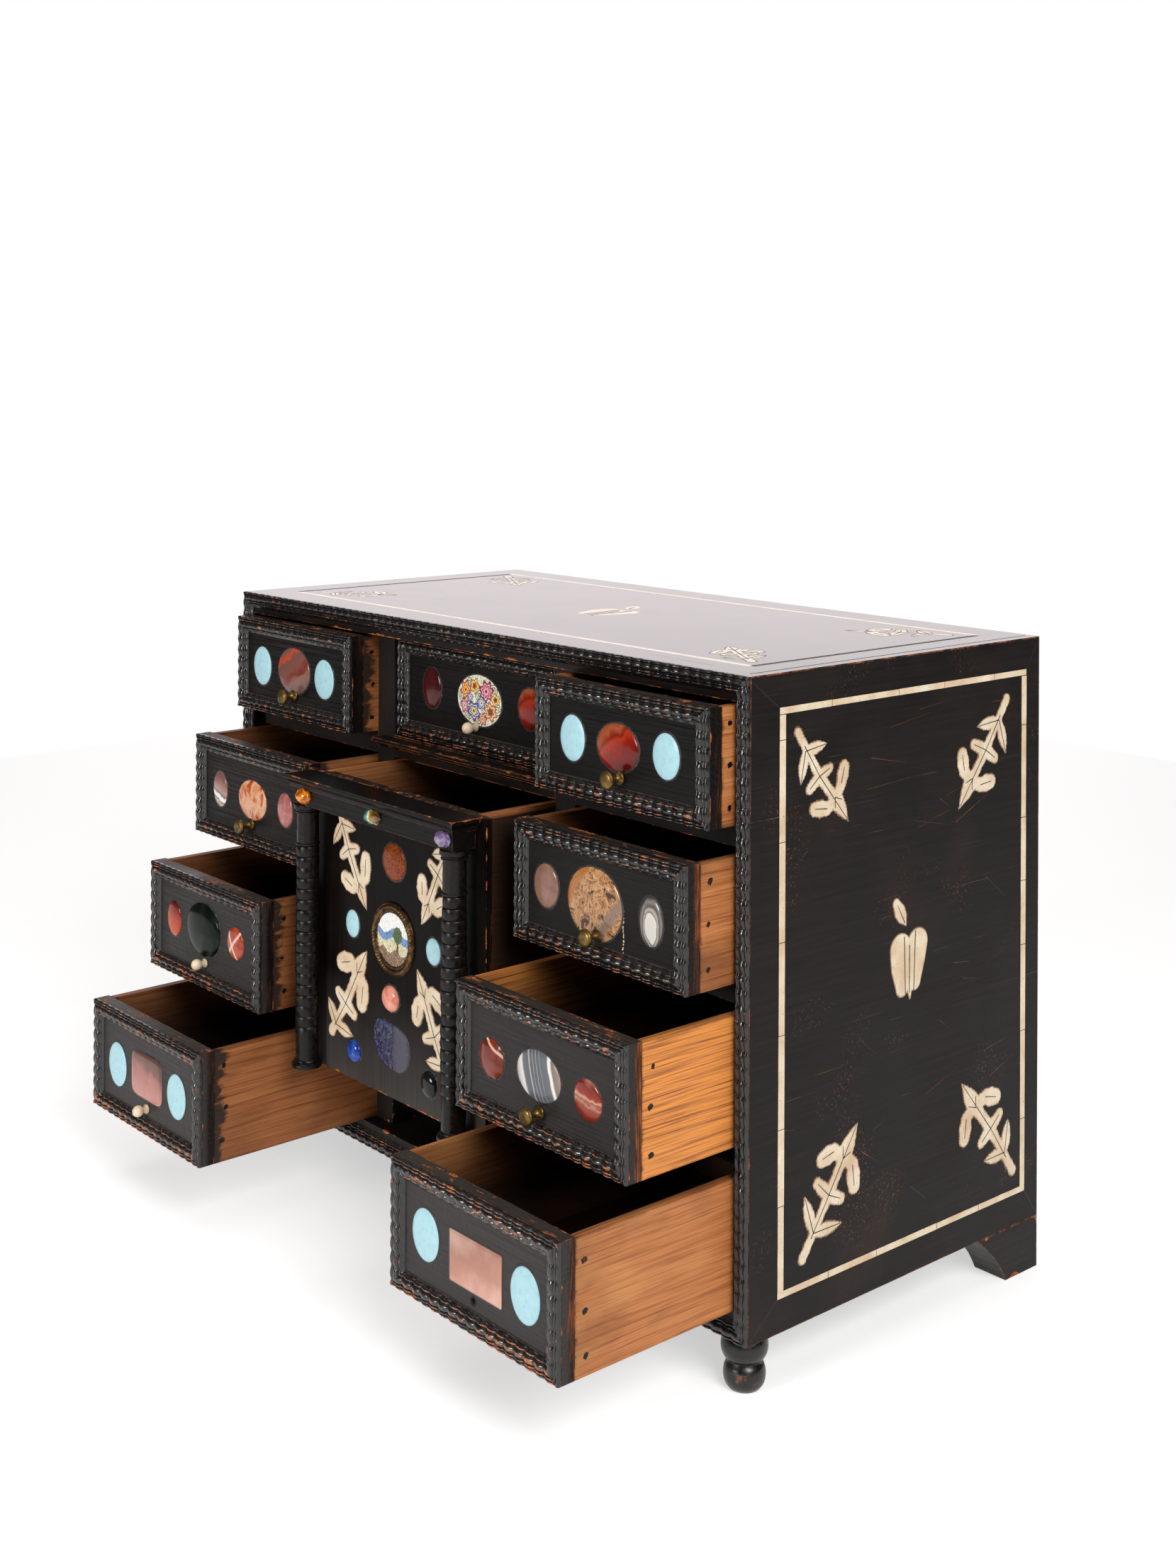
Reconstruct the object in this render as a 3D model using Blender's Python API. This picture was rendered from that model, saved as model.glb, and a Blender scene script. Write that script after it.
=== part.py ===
"""Ebonised table cabinet for coins: a case on feet, nine drawers and a tall centre drawer.

The case is a box of black-stained boards with a moulded frame round its front. The drawers run
in three columns on plain shelves, and each stands drawn out by its own amount. The tall drawer
in the middle carries a small temple front: a cornice over two ringed columns.
Axes: +X to the right seen from the front, -Y to the front, +Z up, with the floor at Z = 0.
"""
import math

import bmesh
import bpy
from mathutils import Vector

# Clearances, in metres as all sizes here
GAP = 0.0003                # between pieces that touch
SIDE_PLAY = 0.0006          # drawer to divider or case side, on each side
HEAD_ROOM = 0.0013          # drawer top to the board above it
BACK_PLAY = 0.0020          # closed drawer to the case back
MITRE_GAP = 0.0002          # sideways and downwards at a mitred corner

# Case boards
TOP_THICKNESS = 0.0170
SIDE_THICKNESS = 0.0125
BOTTOM_THICKNESS = 0.0176
BACK_THICKNESS = 0.0080
SHELF_THICKNESS = 0.0170
DIVIDER_THICKNESS = 0.0214
CASE_DEPTH = 0.2950
INNER_SETBACK = 0.0120      # front edges of dividers and shelves behind the case front

# Drawers, with the rows from the top down
ROW_HEIGHTS = (0.0760, 0.0800, 0.0835, 0.0835)
SIDE_DRAWER_WIDTH = 0.1670
CENTRE_DRAWER_WIDTH = 0.1940
FRONT_THICKNESS = 0.0100
BOX_SIDE_THICKNESS = 0.0065
BOX_BACK_THICKNESS = 0.0065
BOX_BOTTOM_THICKNESS = 0.0050
BOX_DROP = 0.0010           # box sides below the top edge of the front

# How far each drawer stands drawn out
LEFT_PULLS = (0.0294, 0.0688, 0.1096, 0.1595)
RIGHT_PULLS = (0.0388, 0.0567, 0.1047, 0.1565)
CENTRE_PULL = 0.0
TABERNACLE_PULL = 0.0660

# Mouldings
FRAME_WIDTH = 0.0130
FRAME_THICKNESS = 0.0045
CASE_MOULDING_THICKNESS = 0.0040
MOULDING_SHOULDER = 0.0011  # rounding of a moulding's two top edges

# Knobs, turned about the line that they are pulled along
KNOB_HEIGHT = 0.0190        # above the bottom edge of the drawer
SHANK_RADIUS = 0.0016
SHANK_STUB = 0.0010         # end of the shank inside the drawer
BRASS_LENGTH = 0.0135
BRASS_HEAD_RADIUS = 0.0062
BRASS_HEAD_THICKNESS = 0.0036
BRASS_NECK_RADIUS = 0.0021
BRASS_BASE_RADIUS = 0.0048
BRASS_HEAD_SHARES = ((0.80, 0.0), (1.0, 0.3), (0.94, 0.7), (0.45, 1.0))  # shares of radius, thickness
BASE_THICKNESS = 0.0012
BONE_LENGTH = 0.0122
BONE_BALL_RADIUS = 0.0043
BONE_STEM_RADIUS = 0.0022
BONE_COLLAR_RADIUS = 0.0034
BALL_END = math.radians(169)  # the ball is cut flat just before its far pole
BALL_STEPS = 7
KNOB_SIDES = 14
LEFT_KNOBS = ("brass", "brass", "bone", "bone")
RIGHT_KNOBS = ("brass", "brass", "brass", None)
CENTRE_KNOB = "bone"

# Tall centre drawer and its temple front
TABERNACLE_LIFT = 0.0660    # its shelf's top above the inside floor of the case
BOARD_MARGIN = 0.0080       # divider's front left bare beside the board and beside the ledge
BOARD_THICKNESS = 0.0115
LIP_THICKNESS = 0.0050      # edge of the board that laps over the dividers
FRIEZE_HEIGHT = 0.0125
FRIEZE_INSET = 0.0120       # end of the frieze in from the edge of the board
FRIEZE_DEPTH = 0.0190
CORNICE_HEIGHT = 0.0090
CORNICE_OVERHANG = 0.0054
CORNICE_SHARES = ((0.0, 0.3), (0.3, 0.38), (0.65, 0.92), (0.75, 1.0), (1.0, 1.0))  # of height, overhang
COLUMN_INSET = 0.0200       # axis of a column in from the edge of the board
COLUMN_RADIUS = 0.0078
COLUMN_BASE_RADIUS = 0.0115
COLUMN_CAP_RADIUS = 0.0104
COLUMN_MEMBER = 0.0070      # height of the base and of the cap
COLUMN_BASE_SHARES = ((0.9, 0.0), (1.0, 0.3), (0.9, 0.6))  # shares of base radius, of height
COLUMN_CAP_RISE = 0.4       # share of the cap's height over which it spreads
PLAIN_SHAFT = 0.0240        # smooth shaft next to the base and to the cap
RING_PITCH = 0.0080
RING_DEPTH = 0.0012
RING_CREST_SHARES = (0.35, 0.75)  # flat of a ring, in shares of the pitch
COLUMN_SIDES = 12

# Ledge below the upper centre drawer
LEDGE_HEIGHT = 0.0095
LEDGE_PROJECTION = 0.0118
LEDGE_DROP = 0.0020         # its top below the top of its shelf
LEDGE_LIP = 0.0030

# Feet
FOOT_HEIGHT = 0.0365
FOOT_INSET_X = 0.0190       # axis of a front foot in from the case side
FOOT_INSET_Y = 0.0165       # axis of a front foot back from the case front
BUN_RADIUS = 0.0152
BUN_HEIGHT = 0.0180
BALL_RADIUS = 0.0137
NECK_SHARE = 0.78           # radius between and above the two swellings, of the lower one
SOLE_SHARE = 0.60           # radius of the flat sole, of the lower swelling
FOOT_STEPS = 5
FOOT_SIDES = 18
BRACKET_WIDTH = 0.0270
BRACKET_TOP_LENGTH = 0.0680
BRACKET_SOLE_LENGTH = 0.0360
BRACKET_BOW = 0.0040        # hollow of the slanted edge
BRACKET_STEPS = 6

# Colours, roughness and metallic values
BLACK = ((0.018, 0.016, 0.015), 0.38, 0.0)
PINE = ((0.42, 0.19, 0.07), 0.62, 0.0)
BRASS = ((0.36, 0.26, 0.12), 0.42, 1.0)
BONE = ((0.78, 0.70, 0.55), 0.40, 0.0)

# Places that follow from the sizes above
ROWS = len(ROW_HEIGHTS)
ROW_PLAY = GAP + HEAD_ROOM
CASE_HEIGHT = (TOP_THICKNESS + BOTTOM_THICKNESS + sum(ROW_HEIGHTS)
               + ROWS * ROW_PLAY + (ROWS - 1) * SHELF_THICKNESS)
SIDE_BAY = SIDE_DRAWER_WIDTH + 2 * SIDE_PLAY
CENTRE_BAY = CENTRE_DRAWER_WIDTH + 2 * SIDE_PLAY
CASE_WIDTH = CENTRE_BAY + 2 * (SIDE_BAY + DIVIDER_THICKNESS + SIDE_THICKNESS)
CASE_TOP = FOOT_HEIGHT + CASE_HEIGHT
CEILING = CASE_TOP - TOP_THICKNESS
FLOOR = FOOT_HEIGHT + BOTTOM_THICKNESS
INNER_BACK = CASE_DEPTH - BACK_THICKNESS
DIVIDER_X = (CENTRE_BAY + DIVIDER_THICKNESS) / 2
SIDE_BAY_X = (CENTRE_BAY + SIDE_BAY) / 2 + DIVIDER_THICKNESS
ROW_FLOORS = [CEILING - sum(ROW_HEIGHTS[:row + 1]) - (row + 1) * ROW_PLAY - row * SHELF_THICKNESS
              for row in range(ROWS)]
TABERNACLE_FLOOR = FLOOR + TABERNACLE_LIFT
TABERNACLE_HEIGHT = ROW_FLOORS[0] - SHELF_THICKNESS - HEAD_ROOM - GAP - TABERNACLE_FLOOR
CASE_MOULDING_WIDTH = min(SIDE_THICKNESS, TOP_THICKNESS, BOTTOM_THICKNESS)
BOARD_WIDTH = CENTRE_BAY + 2 * (DIVIDER_THICKNESS - BOARD_MARGIN)
FRONT_BACK = FRAME_THICKNESS + GAP + FRONT_THICKNESS
HOLE_RADIUS = SHANK_RADIUS + GAP
BOARD_CLOSED = INNER_SETBACK - GAP - LIP_THICKNESS
KNOB_LENGTHS = {"brass": BRASS_LENGTH, "bone": BONE_LENGTH, None: 0.0}


def clear_scene():
    for old in list(bpy.data.objects):
        bpy.data.objects.remove(old, do_unlink=True)


def make_material(name, finish):
    colour, roughness, metallic = finish
    material = bpy.data.materials.new(name)
    material.use_nodes = True
    shader = material.node_tree.nodes["Principled BSDF"]
    shader.inputs["Base Color"].default_value = (*colour, 1.0)
    shader.inputs["Roughness"].default_value = roughness
    shader.inputs["Metallic"].default_value = metallic
    return material


def make_empty(name, location, parent=None):
    empty = bpy.data.objects.new(name, None)
    empty.location = location
    empty.parent = parent
    bpy.context.scene.collection.objects.link(empty)
    return empty


def make_object(name, shape, material, parent, location=(0.0, 0.0, 0.0)):
    """Turn a bmesh into a named object with its faces pointing out."""
    bmesh.ops.recalc_face_normals(shape, faces=shape.faces)
    mesh = bpy.data.meshes.new(name)
    shape.to_mesh(mesh)
    shape.free()
    mesh.materials.append(material)
    made = bpy.data.objects.new(name, mesh)
    made.location = location
    made.parent = parent
    bpy.context.scene.collection.objects.link(made)
    return made


def shade_round(made):
    made.data.shade_smooth()
    made.data.set_sharp_from_angle(angle=math.radians(40))


def block(low, high):
    """A box between two corners."""
    shape = bmesh.new()
    bmesh.ops.create_cube(shape, size=1.0)
    for vert in shape.verts:
        vert.co = Vector([low[i] + (vert.co[i] + 0.5) * (high[i] - low[i]) for i in range(3)])
    return shape


def prism(outline, place, start, end):
    """Extrude a closed outline; place(point, distance) gives a corner at a distance along it."""
    shape = bmesh.new()
    rings = [[shape.verts.new(place(point, distance)) for point in outline]
             for distance in (start, end)]
    shape.faces.new(rings[0])
    shape.faces.new(rings[1])
    for i in range(len(outline)):
        j = (i + 1) % len(outline)
        shape.faces.new((rings[0][i], rings[0][j], rings[1][j], rings[1][i]))
    return shape


def along_y(point, distance):
    return (point[0], distance, point[1])


def along_x(point, distance):
    return (distance, point[0], point[1])


def turned(profile, place, sides):
    """Spin a profile of (radius, distance) points; place(radius, angle, distance) sets the axis."""
    shape = bmesh.new()
    rings = []
    for radius, distance in profile:
        angles = [2 * math.pi * k / sides for k in range(sides)]
        rings.append([shape.verts.new(place(radius, angle, distance)) for angle in angles])
    shape.faces.new(rings[0])
    shape.faces.new(rings[-1])
    for lower, upper in zip(rings, rings[1:]):
        for k in range(sides):
            n = (k + 1) % sides
            shape.faces.new((lower[k], lower[n], upper[n], upper[k]))
    return shape


def about_z(radius, angle, distance):
    return (radius * math.cos(angle), radius * math.sin(angle), distance)


def about_front(radius, angle, distance):
    return (radius * math.cos(angle), -distance, radius * math.sin(angle))


def moulded_ring(width, height, band, thickness):
    """A mitred frame seen from the front, its back at Y = 0, with the two top edges eased."""
    ease = MOULDING_SHOULDER
    section = [(0.0, 0.0), (0.0, thickness - ease), (ease, thickness),
               (band - ease, thickness), (band, thickness - ease), (band, 0.0)]
    corners = [(0, 0), (1, 0), (1, 1), (0, 1)]
    shape = bmesh.new()
    rings = []
    for right, upper in corners:
        ring = []
        for inward, proud in section:
            x = (width / 2 - inward) * (1 if right else -1)
            z = height - inward if upper else inward
            ring.append(shape.verts.new((x, -proud, z)))
        rings.append(ring)
    for a in range(4):
        first, second = rings[a], rings[(a + 1) % 4]
        for i in range(len(section)):
            j = (i + 1) % len(section)
            shape.faces.new((first[i], first[j], second[j], second[i]))
    return shape


def tray(width, height, start, end):
    """An open box of bottom, two sides and back; the drawer front closes it at Y = start."""
    xs = (-width / 2, -width / 2 + BOX_SIDE_THICKNESS, width / 2 - BOX_SIDE_THICKNESS, width / 2)
    ys = (start, end - BOX_BACK_THICKNESS, end)
    zs = (0.0, BOX_BOTTOM_THICKNESS, height)
    shape = bmesh.new()
    corners = {}

    def corner(i, j, k):
        if (i, j, k) not in corners:
            corners[i, j, k] = shape.verts.new((xs[i], ys[j], zs[k]))
        return corners[i, j, k]

    faces = [
        [(0, 0, 0), (3, 0, 0), (3, 2, 0), (0, 2, 0)],
        [(0, 0, 0), (0, 2, 0), (0, 2, 2), (0, 0, 2)],
        [(3, 0, 0), (3, 2, 0), (3, 2, 2), (3, 0, 2)],
        [(0, 2, 0), (3, 2, 0), (3, 2, 2), (0, 2, 2)],
        [(0, 0, 0), (3, 0, 0), (3, 0, 2), (2, 0, 2), (2, 0, 1), (1, 0, 1), (1, 0, 2), (0, 0, 2)],
        [(0, 0, 2), (1, 0, 2), (1, 1, 2), (2, 1, 2), (2, 0, 2), (3, 0, 2), (3, 2, 2), (0, 2, 2)],
        [(1, 0, 1), (1, 1, 1), (1, 1, 2), (1, 0, 2)],
        [(2, 0, 1), (2, 1, 1), (2, 1, 2), (2, 0, 2)],
        [(1, 1, 1), (2, 1, 1), (2, 1, 2), (1, 1, 2)],
        [(1, 0, 1), (2, 0, 1), (2, 1, 1), (1, 1, 1)],
    ]
    for face in faces:
        shape.faces.new([corner(*key) for key in face])
    return shape


def apply_boolean(made, tool, operation):
    """Leave a Boolean on an object, with its tool kept as a hidden guide."""
    tool.hide_render = True
    tool.display_type = "WIRE"
    change = made.modifiers.new(operation.lower(), "BOOLEAN")
    change.operation = operation
    change.object = tool


def build_case(root, black):
    half = CASE_WIDTH / 2
    inner = half - SIDE_THICKNESS
    mitre = MITRE_GAP
    top_outline = [(-half + mitre, CASE_TOP), (half - mitre, CASE_TOP),
                   (inner - mitre, CEILING), (-inner + mitre, CEILING)]
    make_object("case_top", prism(top_outline, along_y, 0.0, CASE_DEPTH), black, root)
    for name, sign in (("case_left_side", -1), ("case_right_side", 1)):
        outline = [(sign * half, FOOT_HEIGHT), (sign * half, CASE_TOP - mitre),
                   (sign * inner, CEILING - mitre), (sign * inner, FOOT_HEIGHT)]
        make_object(name, prism(outline, along_y, 0.0, CASE_DEPTH), black, root)
    wide = inner - GAP
    make_object("case_bottom", block((-wide, 0.0, FOOT_HEIGHT), (wide, CASE_DEPTH, FLOOR)), black, root)
    make_object("case_back", block((-wide, INNER_BACK, FLOOR + GAP),
                                   (wide, CASE_DEPTH, CEILING - GAP)), black, root)
    moulding = moulded_ring(CASE_WIDTH, CASE_HEIGHT, CASE_MOULDING_WIDTH, CASE_MOULDING_THICKNESS)
    make_object("front_moulding", moulding, black, root, (0.0, -GAP, FOOT_HEIGHT))


def build_partitions(root, black):
    back = INNER_BACK - GAP
    for name, sign in (("left_divider", -1), ("right_divider", 1)):
        low = (sign * DIVIDER_X - DIVIDER_THICKNESS / 2, INNER_SETBACK, FLOOR + GAP)
        high = (sign * DIVIDER_X + DIVIDER_THICKNESS / 2, back, CEILING - GAP)
        make_object(name, block(low, high), black, root)
    for name, sign in (("left", -1), ("right", 1)):
        for row in range(ROWS - 1):
            low = (sign * SIDE_BAY_X - SIDE_BAY / 2 + GAP, INNER_SETBACK, ROW_FLOORS[row] - SHELF_THICKNESS)
            high = (sign * SIDE_BAY_X + SIDE_BAY / 2 - GAP, back, ROW_FLOORS[row])
            make_object(f"{name}_shelf_{row + 1}", block(low, high), black, root)
    reach = CENTRE_BAY / 2 - GAP
    make_object("tabernacle_shelf", block((-reach, INNER_SETBACK, TABERNACLE_FLOOR - SHELF_THICKNESS),
                                          (reach, back, TABERNACLE_FLOOR)), black, root)
    build_ledged_shelf(root, black, reach, back)


def build_ledged_shelf(root, black, reach, back):
    """Shelf of the upper centre drawer, with a ledge along its front in front of the dividers."""
    top = ROW_FLOORS[0]
    shelf = make_object("centre_shelf", block((-reach, INNER_SETBACK, top - SHELF_THICKNESS),
                                              (reach, back, top)), black, root)
    near = INNER_SETBACK - GAP
    front = near - LEDGE_PROJECTION
    upper = top - LEDGE_DROP
    lower = upper - LEDGE_HEIGHT
    outline = [(near, upper), (front, upper), (front, upper - LEDGE_LIP), (near, lower)]
    half = BOARD_WIDTH / 2
    ledge = make_object("ledge_guide", prism(outline, along_x, -half, half), black, root)
    web = block((-reach, front / 2 + near / 2, lower + LEDGE_LIP),
                (reach, INNER_SETBACK + SHELF_THICKNESS, upper - LEDGE_LIP / 2))
    bridge = make_object("ledge_bridge_guide", web, black, root)
    apply_boolean(shelf, bridge, "UNION")
    apply_boolean(shelf, ledge, "UNION")


def swelling(bottom, top, radius, end_radius):
    """Profile of a turned ball that runs from one narrow end to the other."""
    points = []
    for step in range(FOOT_STEPS + 1):
        share = step / FOOT_STEPS
        bulge = math.sin(math.pi * share) ** 0.6
        points.append((end_radius + (radius - end_radius) * bulge, bottom + (top - bottom) * share))
    return points


def build_feet(root, black):
    neck = BALL_RADIUS * NECK_SHARE
    waist = FOOT_HEIGHT - GAP - BUN_HEIGHT
    lower = swelling(0.0, waist, BALL_RADIUS, neck)
    lower[0] = (BALL_RADIUS * SOLE_SHARE, 0.0)
    upper = swelling(waist, FOOT_HEIGHT - GAP, BUN_RADIUS, neck)
    foot_x = CASE_WIDTH / 2 - FOOT_INSET_X
    for name, sign in (("front_left_foot", -1), ("front_right_foot", 1)):
        foot = make_object(name, turned(lower + upper[1:], about_z, FOOT_SIDES), black, root,
                           (sign * foot_x, FOOT_INSET_Y, 0.0))
        shade_round(foot)

    outline = [(CASE_DEPTH, 0.0), (CASE_DEPTH, FOOT_HEIGHT - GAP)]
    slant = BRACKET_TOP_LENGTH - BRACKET_SOLE_LENGTH
    for step in range(BRACKET_STEPS + 1):
        share = step / BRACKET_STEPS
        hollow = BRACKET_BOW * math.sin(math.pi * share)
        outline.append((CASE_DEPTH - BRACKET_TOP_LENGTH + slant * share + hollow,
                        (FOOT_HEIGHT - GAP) * (1 - share)))
    half = CASE_WIDTH / 2
    for name, sign in (("back_left_foot", -1), ("back_right_foot", 1)):
        ends = sorted((sign * half, sign * (half - BRACKET_WIDTH)))
        make_object(name, prism(outline, along_x, *ends), black, root)


def brass_profile():
    """Shank, round base, waisted neck and flat mushroom head; distances run out of the front."""
    head = BRASS_LENGTH - BRASS_HEAD_THICKNESS
    points = [(SHANK_RADIUS, -FRONT_THICKNESS - SHANK_STUB), (SHANK_RADIUS, GAP),
              (BRASS_BASE_RADIUS, GAP), (BRASS_BASE_RADIUS, BASE_THICKNESS),
              (BRASS_NECK_RADIUS, 2 * BASE_THICKNESS), (BRASS_NECK_RADIUS, head - BASE_THICKNESS)]
    for radius_share, depth_share in BRASS_HEAD_SHARES:
        points.append((BRASS_HEAD_RADIUS * radius_share, head + BRASS_HEAD_THICKNESS * depth_share))
    return points


def bone_profile():
    """Shank, collar, short stem and ball."""
    points = [(SHANK_RADIUS, -FRONT_THICKNESS - SHANK_STUB), (SHANK_RADIUS, GAP),
              (BONE_COLLAR_RADIUS, GAP), (BONE_COLLAR_RADIUS, 2 * BASE_THICKNESS),
              (BONE_STEM_RADIUS, 2 * BASE_THICKNESS + GAP)]
    middle = BONE_LENGTH + BONE_BALL_RADIUS * math.cos(BALL_END)
    first = math.asin(BONE_STEM_RADIUS / BONE_BALL_RADIUS)
    for step in range(BALL_STEPS + 1):
        angle = first + (BALL_END - first) * step / BALL_STEPS
        points.append((BONE_BALL_RADIUS * math.sin(angle), middle - BONE_BALL_RADIUS * math.cos(angle)))
    return points


KNOB_PROFILES = {"brass": brass_profile, "bone": bone_profile}


def build_drawer(name, place, size, knob, root, finishes):
    """A moulded frame on a front board, with a box behind it and a knob through it.

    The drawer's empty lies at the bottom middle of the frame's face.
    """
    width, height = size
    axis = make_empty(name, place, root)
    frame = moulded_ring(width, height, FRAME_WIDTH, FRAME_THICKNESS)
    make_object(f"{name}_frame", frame, finishes["black"], axis, (0.0, FRAME_THICKNESS, 0.0))
    face = FRAME_THICKNESS + GAP
    board = block((-width / 2, face, 0.0), (width / 2, FRONT_BACK, height))
    front = make_object(f"{name}_front", board, finishes["black"], axis)
    bore = [(HOLE_RADIUS, -2 * FRONT_THICKNESS), (HOLE_RADIUS, FRONT_THICKNESS)]
    cutter = make_object(f"{name}_bore_guide", turned(bore, about_front, KNOB_SIDES),
                         finishes["black"], axis, (0.0, face, KNOB_HEIGHT))
    apply_boolean(front, cutter, "DIFFERENCE")
    end = INNER_BACK - BACK_PLAY - INNER_SETBACK
    make_object(f"{name}_box", tray(width, height - BOX_DROP, FRONT_BACK + GAP, end), finishes["pine"], axis)
    if knob:
        shape = turned(KNOB_PROFILES[knob](), about_front, KNOB_SIDES)
        made = make_object(f"{name}_knob", shape, finishes[knob], axis, (0.0, face, KNOB_HEIGHT))
        shade_round(made)


def column_profile(length):
    """Base, smooth foot, rings, smooth top and cap, from the bottom up."""
    points = [(COLUMN_BASE_RADIUS * radius_share, COLUMN_MEMBER * height_share)
              for radius_share, height_share in COLUMN_BASE_SHARES]
    points.append((COLUMN_RADIUS, COLUMN_MEMBER))
    start = COLUMN_MEMBER + PLAIN_SHAFT
    end = length - COLUMN_MEMBER - PLAIN_SHAFT
    count = max(1, round((end - start) / RING_PITCH))
    pitch = (end - start) / count
    for ring in range(count):
        low = start + ring * pitch
        points.append((COLUMN_RADIUS - RING_DEPTH, low))
        points += [(COLUMN_RADIUS, low + pitch * share) for share in RING_CREST_SHARES]
    cap = length - COLUMN_MEMBER
    points += [(COLUMN_RADIUS - RING_DEPTH, end), (COLUMN_RADIUS, end + RING_DEPTH), (COLUMN_RADIUS, cap),
               (COLUMN_CAP_RADIUS, cap + COLUMN_MEMBER * COLUMN_CAP_RISE), (COLUMN_CAP_RADIUS, length)]
    return points


def cornice(frieze_bottom):
    """Frieze with a stepped cornice above it, which returns along both ends."""
    base = frieze_bottom + FRIEZE_HEIGHT
    steps = [(frieze_bottom, 0.0), (base, 0.0)]
    steps += [(base + CORNICE_HEIGHT * height_share, share) for height_share, share in CORNICE_SHARES]
    shape = bmesh.new()
    rings = []
    for level, share in steps:
        out = CORNICE_OVERHANG * share
        half = BOARD_WIDTH / 2 - FRIEZE_INSET + out
        front = -GAP - FRIEZE_DEPTH - out
        corners = [(-half, front), (half, front), (half, -GAP), (-half, -GAP)]
        rings.append([shape.verts.new((x, y, level)) for x, y in corners])
    shape.faces.new(rings[0])
    shape.faces.new(rings[-1])
    for lower, upper in zip(rings, rings[1:]):
        for k in range(4):
            n = (k + 1) % 4
            shape.faces.new((lower[k], lower[n], upper[n], upper[k]))
    return shape


def build_tabernacle(root, finishes):
    """Tall drawer whose front laps over the dividers; its empty is at the foot of the front's face."""
    place = (0.0, BOARD_CLOSED - TABERNACLE_PULL, TABERNACLE_FLOOR + GAP)
    axis = make_empty("tabernacle", place, root)
    half = BOARD_WIDTH / 2
    lip = block((-half, 0.0, 0.0), (half, LIP_THICKNESS, TABERNACLE_HEIGHT))
    front = make_object("tabernacle_front", lip, finishes["black"], axis)
    inner = CENTRE_DRAWER_WIDTH / 2 - BOX_SIDE_THICKNESS - GAP
    thick = block((-inner, LIP_THICKNESS / 2, BOX_BOTTOM_THICKNESS + GAP),
                  (inner, BOARD_THICKNESS, TABERNACLE_HEIGHT - BOX_DROP))
    apply_boolean(front, make_object("front_core_guide", thick, finishes["black"], axis), "UNION")
    frieze_bottom = TABERNACLE_HEIGHT - FRIEZE_HEIGHT - CORNICE_HEIGHT
    make_object("tabernacle_cornice", cornice(frieze_bottom), finishes["black"], axis)
    column_x = BOARD_WIDTH / 2 - COLUMN_INSET
    column_y = -GAP - max(COLUMN_BASE_RADIUS, COLUMN_CAP_RADIUS)
    for name, sign in (("tabernacle_left_column", -1), ("tabernacle_right_column", 1)):
        shape = turned(column_profile(frieze_bottom - GAP), about_z, COLUMN_SIDES)
        column = make_object(name, shape, finishes["black"], axis, (sign * column_x, column_y, 0.0))
        shade_round(column)
    start = LIP_THICKNESS + GAP
    end = INNER_BACK - BACK_PLAY - BOARD_CLOSED
    make_object("tabernacle_box", tray(CENTRE_DRAWER_WIDTH, TABERNACLE_HEIGHT - BOX_DROP, start, end),
                finishes["pine"], axis)


def drawer_list():
    """Name, place of the drawer's axis, size and knob of each ordinary drawer."""
    drawers = []
    for side, sign, pulls, knobs in (("left", -1, LEFT_PULLS, LEFT_KNOBS),
                                     ("right", 1, RIGHT_PULLS, RIGHT_KNOBS)):
        for row in range(ROWS):
            place = (sign * SIDE_BAY_X, INNER_SETBACK - pulls[row], ROW_FLOORS[row] + GAP)
            drawers.append((f"{side}_drawer_{row + 1}", place,
                            (SIDE_DRAWER_WIDTH, ROW_HEIGHTS[row]), knobs[row]))
    place = (0.0, INNER_SETBACK - CENTRE_PULL, ROW_FLOORS[0] + GAP)
    drawers.append(("centre_drawer", place, (CENTRE_DRAWER_WIDTH, ROW_HEIGHTS[0]), CENTRE_KNOB))
    return drawers


def middle_of_footprint(drawers):
    """Half way between the foremost point of the drawn drawers and the case back."""
    fronts = [BOARD_CLOSED - TABERNACLE_PULL - GAP - FRIEZE_DEPTH - CORNICE_OVERHANG]
    for _, place, _, knob in drawers:
        proud = max(0.0, KNOB_LENGTHS[knob] - FRAME_THICKNESS - GAP)
        fronts.append(place[1] - proud)
    return (min(fronts) + CASE_DEPTH) / 2


def main():
    clear_scene()
    finishes = {"black": make_material("ebonised_wood", BLACK), "pine": make_material("pine", PINE),
                "brass": make_material("brass", BRASS), "bone": make_material("bone", BONE)}
    drawers = drawer_list()
    root = make_empty("cabinet", (0.0, -middle_of_footprint(drawers), 0.0))
    build_case(root, finishes["black"])
    build_partitions(root, finishes["black"])
    build_feet(root, finishes["black"])
    for name, place, size, knob in drawers:
        build_drawer(name, place, size, knob, root, finishes)
    build_tabernacle(root, finishes)
    bpy.context.view_layer.update()


main()
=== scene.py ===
"""Looks of an ebonised table cabinet for coins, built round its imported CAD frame.

Ripple mouldings, polished stones, bone inlay, turned knobs, columns and feet are meshes made
here. Plain boards keep their CAD solids and get their finish here. Places on a face are given
in millimetres; everything else is in metres, in the frame of the CAD.
"""
import math
import random

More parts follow.
